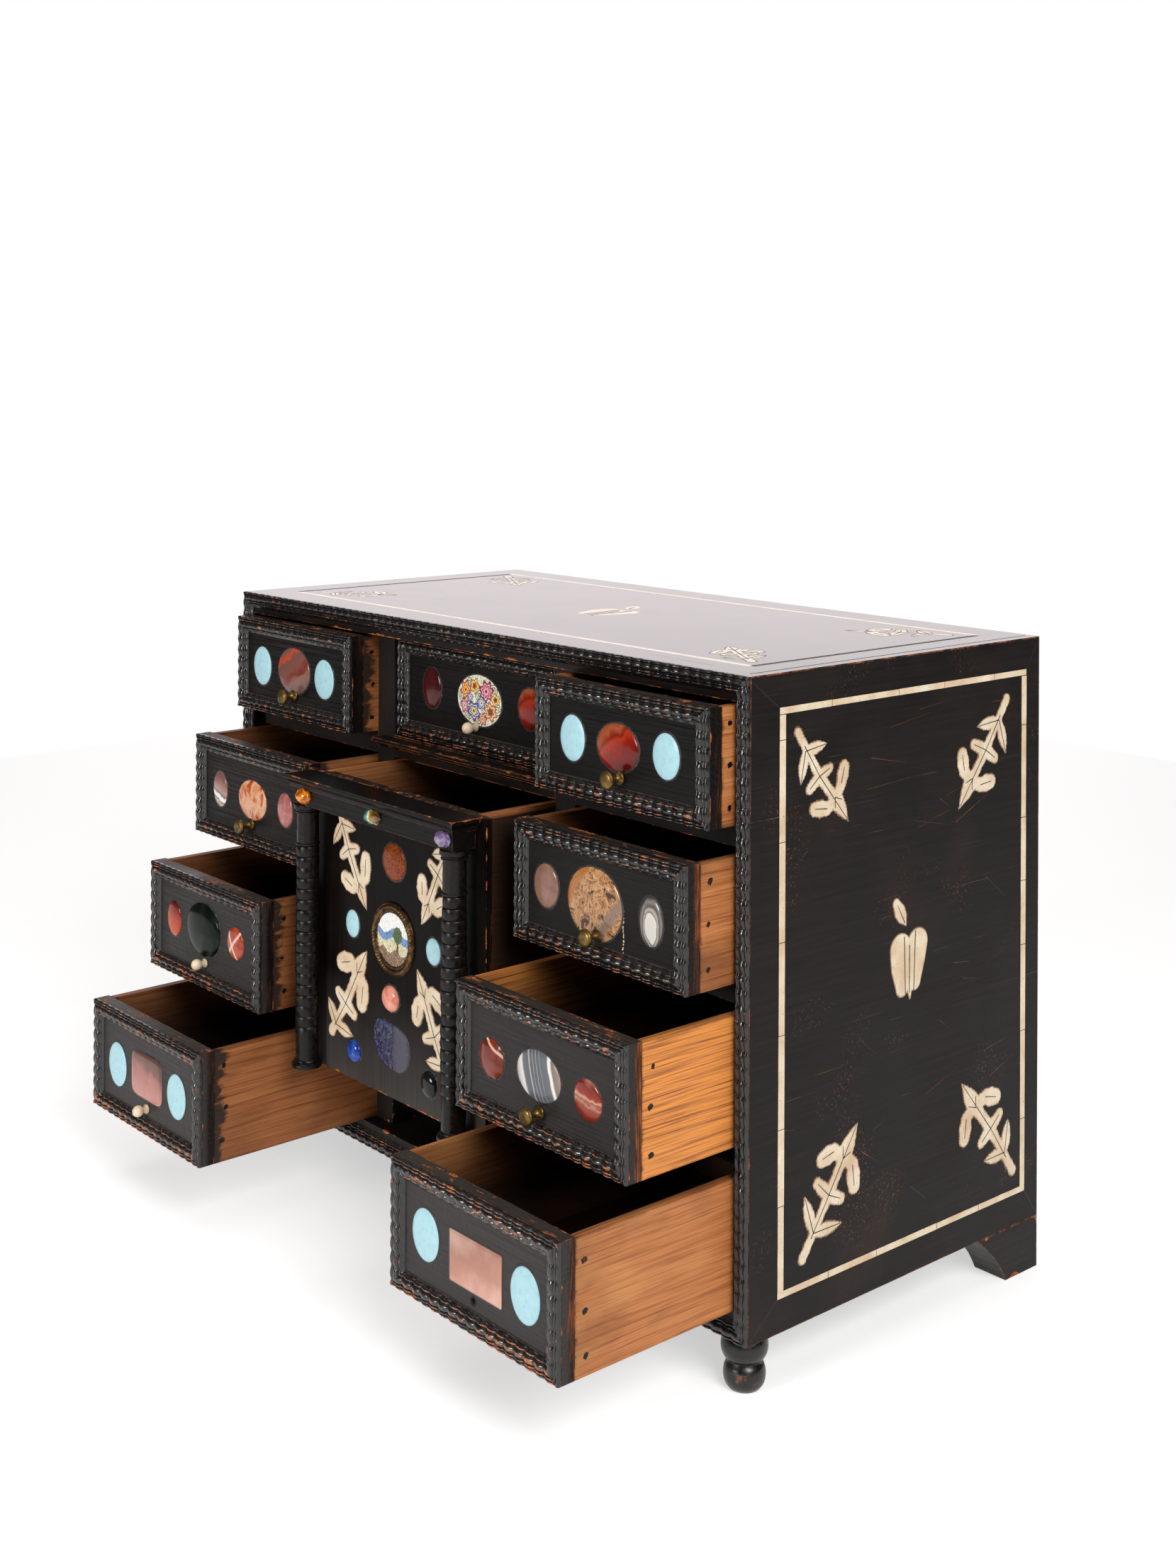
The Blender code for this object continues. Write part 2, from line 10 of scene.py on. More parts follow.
import bpy
import numpy as np
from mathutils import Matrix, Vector


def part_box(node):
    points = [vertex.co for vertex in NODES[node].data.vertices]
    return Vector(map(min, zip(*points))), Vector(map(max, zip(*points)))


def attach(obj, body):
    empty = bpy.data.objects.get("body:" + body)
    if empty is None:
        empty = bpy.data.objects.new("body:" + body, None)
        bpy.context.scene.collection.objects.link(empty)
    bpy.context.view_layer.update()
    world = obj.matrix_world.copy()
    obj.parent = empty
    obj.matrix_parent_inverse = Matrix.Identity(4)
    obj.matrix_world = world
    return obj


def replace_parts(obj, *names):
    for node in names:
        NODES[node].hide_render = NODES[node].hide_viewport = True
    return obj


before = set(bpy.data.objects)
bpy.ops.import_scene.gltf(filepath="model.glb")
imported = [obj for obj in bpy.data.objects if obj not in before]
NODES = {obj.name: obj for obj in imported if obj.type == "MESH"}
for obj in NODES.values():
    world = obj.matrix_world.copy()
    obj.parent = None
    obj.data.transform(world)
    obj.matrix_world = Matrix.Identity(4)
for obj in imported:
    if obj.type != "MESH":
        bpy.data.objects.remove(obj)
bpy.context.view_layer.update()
MM = 0.001
FULL_TURN = 2 * math.pi


# Faces and shapes

class Face:
    """A flat face to build on: a runs to its right, b up and d out of it, in millimetres."""

    def __init__(self, origin, right=(1, 0, 0), up=(0, 0, 1)):
        self.origin = Vector(origin)
        self.right = Vector(right)
        self.up = Vector(up)
        self.out = self.right.cross(self.up)

    def at(self, a, b, d=0.0):
        return self.origin + (self.right * a + self.up * b + self.out * d) * MM

    def turned(self, a, b, angle):
        """The same face with its origin moved to (a, b) and its axes turned."""
        c, s = math.cos(angle), math.sin(angle)
        return Face(self.at(a, b), self.right * c + self.up * s, self.up * c - self.right * s)


def front_of(node, y=None):
    """A node's front, or a face at another y, from the middle of the node's lower edge."""
    low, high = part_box(node)
    return Face(((low.x + high.x) / 2, low.y if y is None else y, low.z))


def span(node):
    """Width, depth and height of a node in millimetres."""
    return [(high - low) / MM for low, high in zip(*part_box(node))]


def put_in_scene(name, data):
    made = bpy.data.objects.new(name, data)
    bpy.context.scene.collection.objects.link(made)
    return made


class Shape:
    """Points, faces and one number for each point, gathered for one piece."""

    def __init__(self):
        self.points = []
        self.faces = []
        self.marks = []
        self.tints = []

    def add(self, points, faces, marks=None):
        first = len(self.points)
        self.points += [tuple(point) for point in points]
        self.faces += [tuple(first + i for i in face) for face in faces]
        self.marks += [0.0] * len(points) if marks is None else list(marks)

    def piece(self, name, material, body, slot, sharp=None):
        """Make the object; edges sharper than the given angle stay sharp, and None is all flat."""
        mesh = bpy.data.meshes.new(name)
        mesh.from_pydata(self.points, [], self.faces)
        mesh.attributes.new("mark", "FLOAT", "POINT").data.foreach_set("value", self.marks)
        if self.tints:
            tints = mesh.color_attributes.new("tint", "FLOAT_COLOR", "POINT")
            tints.data.foreach_set("color", np.array(self.tints, np.float32).ravel())
        mesh.materials.append(material)
        if sharp is not None:
            mesh.shade_smooth()
            mesh.set_sharp_from_angle(angle=math.radians(sharp))
        made = put_in_scene(name, mesh)
        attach(made, body)
        return made


def stack(shape, rings, marks=None):
    """Close a pile of rings, listed from the bottom up, each anticlockwise seen from above."""
    count = len(rings[0])
    faces = [tuple(reversed(range(count)))]
    for r in range(len(rings) - 1):
        for k in range(count):
            n = (k + 1) % count
            faces.append((r * count + k, r * count + n, (r + 1) * count + n, (r + 1) * count + k))
    faces.append(tuple(range((len(rings) - 1) * count, len(rings) * count)))
    shape.add([point for ring in rings for point in ring], faces, marks)


def loop_tube(shape, columns, marks=None):
    """Close a tube round a closed path; each column is a closed section, anticlockwise on the way."""
    size = len(columns[0])
    faces = []
    for c in range(len(columns)):
        m = (c + 1) % len(columns)
        for k in range(size):
            n = (k + 1) % size
            faces.append((c * size + k, m * size + k, m * size + n, c * size + n))
    shape.add([point for column in columns for point in column], faces, marks)


def oval(angle, power=2.0):
    """Point of a unit oval; a higher power squares it."""
    c, s = math.cos(angle), math.sin(angle)
    return math.copysign(abs(c) ** (2 / power), c), math.copysign(abs(s) ** (2 / power), s)


def outline(face, a, b, width, height, d, sides, power=2.0, turn=0.0):
    points = []
    for k in range(sides):
        x, z = oval(FULL_TURN * (k + turn) / sides, power)
        points.append(face.at(a + width / 2 * x, b + height / 2 * z, d))
    return points


def turned(shape, face, profile, sides, marks):
    """Spin (radius, distance) points about the face's outward axis, with a mark for each."""
    rings = [outline(face, 0.0, 0.0, 2 * radius, 2 * radius, d, sides) for radius, d in profile]
    stack(shape, rings, [mark for mark in marks for _ in range(sides)])


BAR_SINK = -0.2


def bar(shape, face, start, end, width, height, end_width=None):
    """A slim bar along a face, slightly narrower at its top."""
    along = Vector((end[0] - start[0], end[1] - start[1]))
    across = Vector((-along.y, along.x)).normalized()
    last = end_width or width
    rings = []
    for d, share in ((BAR_SINK, 1.0), (height * 0.6, 1.0), (height, 0.82)):
        ring = []
        for place, wide, sign in ((start, width, -1), (end, last, -1), (end, last, 1), (start, width, 1)):
            off = across * (sign * wide / 2 * share)
            ring.append(face.at(place[0] + off.x, place[1] + off.y, d))
        rings.append(ring)
    stack(shape, rings, [0.3] * 8 + [1.0] * 4)


# Materials

def rgb(code):
    """Linear colour of an sRGB hex code."""
    values = [int(code[i:i + 2], 16) / 255 for i in (0, 2, 4)]
    return tuple(v / 12.92 if v <= 0.04045 else ((v + 0.055) / 1.055) ** 2.4 for v in values) + (1.0,)


class Wire:
    """An output of a material's node that can be reckoned with like a number."""

    def __init__(self, paint, socket):
        self.paint = paint
        self.socket = socket

    def __add__(self, other):
        return self.paint.calc("ADD", self, other)

    def __sub__(self, other):
        return self.paint.calc("SUBTRACT", self, other)

    def __rsub__(self, other):
        return self.paint.calc("SUBTRACT", other, self)

    def __mul__(self, other):
        return self.paint.calc("MULTIPLY", self, other)

    def __abs__(self):
        return self.paint.calc("ABSOLUTE", self)

    def larger(self, other):
        return self.paint.calc("MAXIMUM", self, other)

    def smaller(self, other):
        return self.paint.calc("MINIMUM", self, other)

    def step(self, low, high, to_low=0.0, to_high=1.0):
        """Map one range onto another, clamped."""
        inputs = {"Value": self, "From Min": low, "From Max": high, "To Min": to_low, "To Max": to_high}
        return self.paint.add("MapRange", "Result", inputs)


class Paint:
    """A material with short ways to add nodes; a wire given as a value gets linked."""

    def __init__(self, name):
        self.material = bpy.data.materials.new(name)
        self.material.use_nodes = True
        self.tree = self.material.node_tree
        self.shader = self.tree.nodes["Principled BSDF"]

    def put(self, socket, value):
        if isinstance(value, Wire):
            self.tree.links.new(value.socket, socket)
        else:
            socket.default_value = rgb(value) if isinstance(value, str) else value

    def add(self, kind, output, inputs=None, **settings):
        """Add a node and give one of its outputs."""
        node = self.tree.nodes.new("ShaderNode" + kind)
        for key, value in settings.items():
            setattr(node, key, value)
        for key, value in (inputs or {}).items():
            self.put(node.inputs[key], value)
        return Wire(self, node.outputs[output])

    def calc(self, operation, *values):
        return self.add("Math", "Value", dict(enumerate(values)), operation=operation)

    def vector(self, operation, output, *values):
        return self.add("VectorMath", output, dict(enumerate(values)), operation=operation)

    def place(self, shift=(0.0, 0.0, 0.0), scale=(1.0, 1.0, 1.0), turn=(0.0, 0.0, 0.0)):
        """Object coordinates, which are the frame's own at rest, shifted, turned and stretched."""
        here = self.add("TexCoord", "Object")
        inputs = {"Vector": here, "Location": shift, "Rotation": turn, "Scale": scale}
        return self.add("Mapping", "Vector", inputs)

    def axes(self, vector):
        return [self.add("SeparateXYZ", axis, {"Vector": vector}) for axis in "XYZ"]

    def normal(self):
        return self.add("NewGeometry", "Normal")

    def mark(self, name="mark", output="Fac"):
        return self.add("Attribute", output, attribute_name=name)

    def noise(self, vector, scale, detail=3.0, distortion=0.0):
        inputs = {"Vector": vector, "Scale": scale, "Detail": detail, "Distortion": distortion}
        return self.add("TexNoise", "Fac", inputs)

    def ramp(self, value, stops):
        """Colours along a value; stops reads as pairs of a place in hundredths and a hex code."""
        node = self.tree.nodes.new("ShaderNodeValToRGB")
        self.put(node.inputs["Fac"], value)
        words = stops.split()
        points = node.color_ramp.elements
        while len(points) < len(words) // 2:
            points.new(0.5)
        for point, place, code in zip(points, words[::2], words[1::2]):
            point.position = float(place) / 100
            point.color = rgb(code)
        return Wire(self, node.outputs["Color"])

    def mix(self, factor, first, second):
        return self.add("Mix", 2, {0: factor, 6: first, 7: second}, data_type="RGBA")

    def bump(self, height, distance, strength):
        inputs = {"Height": height, "Distance": distance, "Strength": strength}
        self.put(self.shader.inputs["Normal"], self.add("Bump", "Normal", inputs))

    def finish(self, colour, roughness, **others):
        for name, value in {"Base_Color": colour, "Roughness": roughness, **others}.items():
            self.put(self.shader.inputs[name.replace("_", " ")], value)
        return self.material


def edge_distance(paint, place, low, high):
    """Distance from a point on a box to the nearest edge of that box."""
    first, second, third = [(top - bottom) / 2 - abs(axis - (bottom + top) / 2)
                            for axis, bottom, top in zip(paint.axes(place), low, high)]
    return first.smaller(second).larger(first.larger(second).smaller(third))


GRAIN_X, GRAIN_Y, GRAIN_Z = 0, 1, 2
EDGE_REACH = 0.0012


def ebonised(name, box, grain=GRAIN_X, wear=1.0, gloss=0.3, shine=0.2, haze=0.5, relief=0.35, edges=0.0,
             scratched=0.0, film=0.0, dust_and_sheen_rise=0.0, worn_below=None, lap=None, bare_end=False, flat=False,
             deep=False):
    """Black-stained wood with a worn polish: bare brown wood shows in places along its edges.

    A drawer's front has its lap, the depth at which the side's end grain begins.
    """
    low, high = box
    paint = Paint(name)
    place = paint.place()
    x, y, z = paint.axes(place)
    slim = [430.0] * 3
    slim[grain] = 13.0
    streaks = paint.noise(paint.place(scale=slim), 1.0, 4.0)
    clouds = paint.noise(place, 19.0, 4.0)
    crumbs = paint.noise(place, 560.0, 3.0)
    chips = paint.noise(place, 95.0, 5.0, 0.5)
    edge = crumbs * 0.0010 + edge_distance(paint, place, low, high)
    worn = (edge - chips.step(0.50, 0.78, 0.0, 0.0026 * wear)).step(0.0005, 0.0001)
    tone = streaks * 0.45 + clouds * 0.55
    black = paint.ramp(tone, "36 050303 52 0a0807 68 110d0b" if deep else "36 0a0706 52 130f0d 68 1c1613")
    colour = paint.mix(paint.noise(place, 8.0, 6.0, 0.6).step(0.54, 0.80, 0.0, haze), black, "2b1a13")
    # Grey film, partly dust and partly painted sheen from the pale floor; it can fade upwards from the bottom
    if film:
        grey = tone.step(0.3, 0.7, film * 0.6, film)
        if dust_and_sheen_rise:
            grey = grey * z.step(low.z + dust_and_sheen_rise, low.z)
        colour = paint.mix(grey, colour, "423e3c")
    if edges:
        soft = paint.add("Bevel", "Normal", {"Radius": EDGE_REACH}, samples=6)
        bent = paint.vector("DOT_PRODUCT", "Value", soft, paint.normal())
        worn = worn.larger(bent.step(0.985, 0.88) * chips.step(0.40, 0.55, 0.0, edges))
    if worn_below:
        worn = worn * z.step(worn_below + 0.02, worn_below)
    if scratched:
        lines = paint.noise(paint.place(turn=(0.05, 0.0, 0.0), scale=(1.0, 6.0, 1300.0)), 1.0, 2.0)
        hair = lines.step(0.71, 0.75, 0.0, scratched) * paint.noise(place, 55.0, 3.0).step(0.45, 0.62)
        scuffs = crumbs.step(0.60, 0.66) * paint.noise(place, 16.0, 3.0).step(0.56, 0.72, 0.0, 0.7)
        colour = paint.mix(scuffs, paint.mix(hair, colour, "6d4a36"), "7a4a2c")
    if lap:
        long = [240.0] * 3
        long[grain] = 60.0
        patches = paint.noise(paint.place(scale=long), 1.0, 5.0, 0.4)
        endwise, _, upward = paint.axes(paint.normal())
        level = upward.step(0.8, 0.95)
        worn = worn.larger(patches.step(0.59, 0.62, 0.0, 0.9) * level)
        colour = paint.mix(level * streaks.step(0.35, 0.65, 0.15, 0.7), colour, "3b342f")
        lapped = abs(endwise).step(0.8, 0.95) * (crumbs * 0.004 + (y - low.y)).step(lap, lap + 0.0027)
        fibres = paint.noise(paint.place(scale=(900.0, 700.0, 60.0)), 1.0, 4.0)
        end_stops = "42 150d09 52 472411 64 8a4d24" if bare_end else "50 120c09 58 2e1a10 72 6b3d1f"
        colour = paint.mix(lapped, colour, paint.ramp(clouds * 0.5 + fibres * 0.5, end_stops))
    colour = paint.mix(worn, colour, paint.ramp(crumbs, "36 6b3115 52 9c5228 66 c07a48"))
    if flat:
        lines = paint.noise(paint.place(turn=(0.0, 0.0, 0.12), scale=(6.0, 420.0, 1.0)), 1.0, 2.0)
        hair = lines.step(0.70, 0.76) * paint.noise(place, 30.0, 3.0).step(0.5, 0.7)
        rough = hair * 0.35 + (clouds * 0.06 + 0.3)
        paint.bump(hair, 0.0003, 0.05)
    else:
        rough = worn * 0.6 + clouds
        paint.bump(chips * 0.9 + streaks - worn, 0.0006, relief)
    return paint.finish(colour, rough.step(0.3, 1.2, gloss, gloss + 0.4), Specular_IOR_Level=shine)


def rippled(name, wear=0.0, film=0.0):
    """Polished black moulding, rubbed through to the wood on some crests, with dust on its ledges."""
    paint = Paint(name)
    place = paint.place()
    crumbs = paint.noise(place, 420.0, 3.0)
    crest = paint.mark()
    spread = paint.noise(place, 105.0, 4.0) * 1.9 + crumbs * 0.9
    worn = (crest + spread).step(2.40 - wear, 2.55 - wear)
    black = paint.ramp(crumbs, "35 0a0908 65 1c1816")
    # Lower rows grey on their crests: partly dust, partly painted sheen from the pale floor
    if film:
        black = paint.mix(crest.step(0.05, 0.4, 0.0, film), black, "3a3532")
    bare = paint.ramp(paint.noise(place, 700.0, 2.0), "35 7a3c1a 65 b56837")
    ledge = paint.axes(paint.normal())[2].step(0.55, 0.95) * crest.step(0.05, -0.4)
    dust = ledge * crumbs.step(0.3, 0.6, 0.45, 0.9)
    colour = paint.mix(worn, paint.mix(dust, black, "54443a"), bare)
    rough = worn.larger(dust) * 0.7 + crumbs
    paint.bump(crumbs, 0.0003, 0.35)
    return paint.finish(colour, rough.step(0.3, 1.1, 0.14, 0.6), Specular_IOR_Level=0.6)


def turned_black(name, bare_share, shine=0.5):
    """Black turned work with brown wear on its swellings."""
    paint = Paint(name)
    crumbs = paint.noise(paint.place(), 330.0, 4.0)
    patches = paint.noise(paint.place(), 60.0, 3.0)
    worn = (paint.mark() + patches * 1.2 + crumbs * 0.5).step(1.75 - bare_share, 2.0 - bare_share)
    black = paint.ramp(crumbs, "35 080706 65 15110f")
    bare = paint.ramp(patches, "35 4a2415 60 7d3f22 75 a8653c")
    paint.bump(crumbs, 0.0003, 0.35)
    colour = paint.mix(worn, black, bare)
    return paint.finish(colour, crumbs.step(0.3, 0.7, 0.2, 0.42), Specular_IOR_Level=shine)


def pine(name, box, age=0.0, shaded_sides=0.0, stain=0.0, warm=0.0):
    """Aged softwood with its grain along Y, stained black near the drawer's front."""
    low, high = box
    paint = Paint(name)
    place = paint.place()
    x, y, z = paint.axes(place)
    drift = paint.noise(paint.place(scale=(15.0, 2.6, 15.0)), 1.0, 2.0)
    pitch = 0.0075 if age else 0.0058
    rings = paint.calc("SINE", (x * 0.8 + z) * (FULL_TURN / pitch) + drift * 40.0).step(0.6, 1.0)
    fibres = paint.noise(paint.place(scale=(1100.0, 20.0, 1100.0)), 1.0, 6.0)
    tone = rings * (0.17 if age else 0.10) + fibres * 0.9
    wood = paint.ramp(tone, "30 bb7a48 46 ad6c3c 60 98582d 80 6b371a")
    patches = paint.noise(paint.place(scale=(1.0, 0.45, 1.0)), 26.0, 5.0)
    wood = paint.mix(patches.step(0.46, 0.76, 0.0, 0.8), wood, "552b12")
    pale = paint.noise(paint.place(shift=(0.3, 0.1, 0.2), scale=(1.0, 0.3, 1.0)), 30.0, 4.0)
    wood = paint.mix(pale.step(0.54, 0.72, 0.0, 0.55), wood, "c98d52")
    wood = paint.mix(tone.step(0.62, 0.36, 0.0, warm), paint.mix(age, wood, "54290f"), "e8923c")
    # Painted shade inside the box: inner walls and floor darken from just below the top edge downwards
    inner = (high.x - low.x) / 2 - abs(x - (low.x + high.x) / 2)
    inner = inner.smaller(high.y - y)
    below = high.z - z
    wood = paint.mix(inner.step(0.002, 0.004) * below.step(0.002, 0.040, 0.42, 0.94), wood, "120a06")
    ahead = y - low.y
    # Painted shade on the outer sides where asked, deepening further back from the front
    side_shade = paint.ramp(fibres * 0.3 + ahead.step(0.004, 0.030), "15 42200e 50 1c0e07 95 0c0705")
    wood = paint.mix(inner.step(0.004, 0.002) * below.step(0.0005, 0.004, 0.0, shaded_sides), wood, side_shade)
    soot = paint.noise(paint.place(scale=(1.0, 0.45, 1.0)), 130.0, 8.0, 0.9)
    smear = (soot * 0.030 + ahead).step(0.0175 + stain, 0.0125 + stain, 0.0, 0.93)
    grime = (soot * 0.006 + edge_distance(paint, place, low, high)).step(0.0046, 0.0022, 0.0, 0.45)
    colour = paint.mix(smear, paint.mix(grime, wood, "3a2012"), "15110f")
    paint.bump(rings * -0.5 + fibres, 0.0004, 0.3)
    return paint.finish(colour, tone.step(0.2, 0.9, 0.62, 0.45), Specular_IOR_Level=0.3)


def bone(name, slim=(130.0, 130.0, 130.0), polish=0.34, stain=0.9):
    """Yellowed bone with pores, darker at its rim."""
    paint = Paint(name)
    place = paint.place()
    clouds = paint.noise(place, 75.0, 4.0)
    pores = paint.noise(paint.place(scale=slim), 6.0, 2.0)
    tan = paint.noise(place, 26.0, 3.0).step(0.48, 0.70, 0.0, stain * 0.6)
    cream = paint.mix(tan, paint.ramp(clouds, "30 c6ae8f 50 d3c0a4 70 dccdb6"), "b58a5c")
    colour = paint.mix((clouds * 0.6 + paint.mark()).step(0.86, 0.40, 0.0, stain), cream, "5c3013")
    colour = paint.mix(pores.step(0.64, 0.72, 0.0, 0.75), colour, "7a5230")
    paint.bump(pores, 0.0003, polish * 0.7)
    return paint.finish(colour, clouds.step(0.3, 0.7, polish, polish + 0.14), Specular_IOR_Level=0.4)


def brass(name, stops):
    paint = Paint(name)
    film = paint.noise(paint.place(), 260.0, 5.0, 0.6)
    paint.bump(film, 0.0002, 0.4)
    colour = paint.ramp(film + paint.mark() * 0.25, stops)
    return paint.finish(colour, film.step(0.35, 0.65, 0.5, 0.3), Metallic=0.9)


def dull_black(name):
    """Black wax round the stones and in engraved lines."""
    paint = Paint(name)
    film = paint.noise(paint.place(), 500.0, 3.0)
    paint.bump(film, 0.0003, 0.5)
    return paint.finish(paint.ramp(film, "35 080706 66 1d1713 72 5f554c"), film.step(0.3, 0.7, 0.4, 0.6))


def painted(name, gloss):
    """Glazed colours that the mesh carries, with fine crackle."""
    paint = Paint(name)
    crackle = paint.noise(paint.place(), 900.0, 3.0)
    colour = paint.mix(crackle.step(0.5, 0.8, 0.0, 0.35), paint.mark("tint", "Color"), "4a4038")
    paint.bump(crackle, 0.0002, 0.3)
    return paint.finish(colour, crackle.step(0.3, 0.7, gloss, gloss * 2))


def stone(name, stops, scale=70.0, twist=1.0, bands=None, eye=None, veins=(), specks=None,
          centre=(0.0, 0.0, 0.0), gloss=0.12, shine=0.3, **others):
    """Polished stone: colours over clouds, bands or an eye, with veins and specks on top.

    Bands are (direction, extent, bend), an eye (middle, radii, bend), a vein (direction, offset,
    half width, colour) and specks (density, size, colour).
    """
    paint = Paint(name)
    place = paint.place(shift=[-c for c in centre])
    clouds = paint.noise(place, scale, 5.0, twist)
    field = clouds
    if bands:
        direction, extent, bend = bands
        lean = paint.vector("DOT_PRODUCT", "Value", place, direction)
        field = lean * (1 / extent) + (clouds * bend + (0.5 - bend / 2))
    if eye:
        (x, z), (wide, high), bend = eye
        near = paint.place(shift=[-c - s for c, s in zip(centre, (x, 0.0, z))])
        near = paint.vector("MULTIPLY", "Vector", near, (1 / wide, 0.0, 1 / high))
        field = paint.vector("LENGTH", "Value", near) + (clouds * bend - bend / 2)
    colour = paint.ramp(field, stops)
    for direction, offset, half, code in veins:
        lean = paint.vector("DOT_PRODUCT", "Value", place, direction)
        off = clouds * 0.003 + lean - (offset + 0.0015)
        colour = paint.mix(abs(off).step(half, half * 0.4, 0.0, 0.85), colour, code)
    if specks:
        density, size, code = specks
        grit = paint.add("TexVoronoi", "Distance", {"Vector": place, "Scale": density}) + clouds * 0.35
        colour = paint.mix(grit.step(size + 0.08, size, 0.0, 0.85), colour, code)
    rough = clouds.step(0.3, 0.7, gloss * 0.8, gloss * 1.5)
    return paint.finish(colour, rough, Specular_IOR_Level=shine, **others)


STRIPES = (0.95, 0.0, 0.30)
STONES = {
    "turquoise": dict(
        stops="25 94bac2 50 9cc2ca 75 a4c8d0", scale=300.0, twist=0.0, gloss=0.28,
        specks=(230.0, 0.06, "5d7f7c")),
    "red_agate": dict(
        stops="12 6d4a42 18 b23a22 24 a8462e 30 6a443c 48 74463d 60 6b2a20 70 7d564c 90 5f423b",
        bands=((0.55, 0.0, -0.83), 0.050, 0.45), scale=55.0),
    "oxblood": dict(stops="30 2a0a08 55 45100c 75 5a1712", scale=60.0),
    "carnelian": dict(
        stops="12 3d0a06 30 640f07 48 7d170b 60 962f16 66 70170a 76 964a2a 90 6a3a2e",
        bands=((-0.45, 0.0, 0.89), 0.042, 0.5), scale=48.0),
    "pink_agate": dict(
        stops="20 6d4c46 40 8f6a62 52 a5847b 60 6f5c5a 64 dcd6d0 70 e6e0da 74 6a6664 80 b9aca6 "
              "90 7d605a", bands=((-0.35, 0.0, -0.94), 0.036, 0.25)),
    "cream_jasper": dict(
        stops="30 9c3520 40 ad4a2e 44 bd7c54 52 c48f68 60 cba184 66 c06a44 76 9c3c24",
        scale=95.0, twist=0.8, specks=(170.0, 0.07, "2e1a14")),
    "mauve": dict(stops="30 8a4c4a 55 aa6862 75 be8478", scale=110.0, specks=(260.0, 0.1, "c9a7a4")),
    "chalcedony": dict(stops="30 6a4c3f 55 836052 75 957263", scale=50.0),
    "picture_jasper": dict(
        stops="36 3d2417 41 a8784c 45 75482b 48 c9a67c 51 97592f 54 c49868 58 5c3622 "
              "62 b58050 68 7d4a2c", scale=150.0,
        veins=(((0.75, 0.0, -0.66), 0.0165, 0.0055, "7d675c"),
               ((0.8, 0.0, -0.6), -0.021, 0.005, "a0622f"))),
    "grey_agate": dict(
        stops="30 c4beb6 40 cdc7bf 44 6d645e 52 a59e96 60 4f4945 72 7d7670 82 403b38 98 322e2b",
        eye=((0.0015, -0.0035), (0.0125, 0.023), 0.3)),
    "sunset_carnelian": dict(
        stops="6 d8ab90 17 b8471f 45 a83a1a 66 7d1e10 90 3d0e09",
        bands=((0.25, 0.0, 0.97), 0.034, 0.4)),
    "bloodstone": dict(
        stops="34 060a08 52 0c140f 66 1a2b1e 80 2a4431", scale=45.0,
        specks=(140.0, 0.12, "34110d"), shine=0.1),
    "crossed_agate": dict(
        stops="25 6a180d 45 97301a 60 a8482a 75 6d2018", scale=60.0,
        veins=(((-0.72, 0.0, 0.69), 0.0005, 0.0016, "d9b8a4"),
               ((0.85, 0.0, 0.52), -0.0035, 0.0013, "e0c6b4"))),
    "banded_carnelian": dict(
        stops="10 5f1a10 30 7a2a1b 42 8a3a26 46 a87660 50 8f3c26 54 bd937c 59 8a2815 "
              "75 6d180d 90 a06a58", bands=((0.15, 0.0, 0.99), 0.034, 0.3)),
    "faceted_carnelian": dict(
        stops="30 46120b 48 6c2416 62 7a3a28 78 5a2018", scale=55.0,
        veins=(((0.45, 0.0, 0.89), 0.0085, 0.0011, "d2b199"),)),
    "striped_agate": dict(
        stops="5 8f857c 14 bdb8b2 21 d3cfc9 25 5c5f63 36 505358 38.5 a9a8a6 41 505358 60 565a5f "
              "75 606368 78 dfdad3 81 d8d2ca 84 77695f 95 8a7a6f", bands=(STRIPES, 0.046, 0.06),
        veins=((STRIPES, 0.0015, 0.0005, "9a9894"), (STRIPES, 0.0052, 0.0004, "8a8884"),
               (STRIPES, -0.0018, 0.0005, "8f8d8a"))),
    "rose_quartz": dict(
        stops="15 b08c7c 38 9e6e5e 60 ac7a68 85 c99b8c", bands=((0.3, 0.0, -0.95), 0.060, 0.8),
        scale=45.0, twist=0.3, specks=(150.0, 0.08, "c9aca0")),
    "mauve_jasper": dict(
        stops="15 b07a70 45 a26a60 62 8e5a52 72 6e483e 90 5e3f36", scale=60.0, twist=0.6,
        bands=((0.1, 0.0, 0.99), 0.036, 0.7), specks=(190.0, 0.13, "3d2422")),
    "goldstone": dict(
        stops="30 471805 50 702c0c 70 8c4012", scale=500.0, specks=(1300.0, 0.36, "c47a34"),
        gloss=0.16, shine=0.15),
    "coral": dict(stops="30 b0523f 50 d08470 72 dba394", scale=60.0),
    "lapis": dict(
        stops="36 10112a 46 1f213f 55 303352 66 565868", scale=520.0, twist=0.4, gloss=0.3,
        veins=(((1.0, 0.0, 0.0), 0.0115, 0.0125, "48444e"),), specks=(620.0, 0.26, "5f6374")),
    "blue_glass": dict(stops="30 0b1c5c 50 1a3a8c 75 4a70b8", scale=90.0),
    "onyx": dict(stops="30 0a0a0b 70 191818", scale=80.0),
    "amber": dict(
        stops="30 4f1c02 46 a04804 60 d98608 75 6d2c04", scale=140.0, twist=1.6, gloss=0.06,
        Coat_Weight=0.6),
    "green_glass": dict(
        stops="30 0c3a30 48 2a6a54 58 6f9a80 64 d8d2b8 72 96763a 90 5a3e18", gloss=0.06,
        bands=((0.8, 0.0, 0.6), 0.014, 0.5), Coat_Weight=0.6),
    "amethyst": dict(
        stops="30 4a345c 50 7d6490 72 b3a0c4", scale=150.0, gloss=0.04, Transmission_Weight=0.3,
        Coat_Weight=1.0),
}


# Ripple mouldings

RIPPLE = 9.4                        # length of one wave
RIPPLE_STEPS = 10                   # columns for one wave
MITRE_FADE = 3.0                    # length over which the wave dies out at a mitre
SWAY = 0.12                         # sideways swing of the ridges
SIDE_WEAR = (1.15, 0.7, 1.0, 0.7)   # wear of the bottom, right, top and left lengths

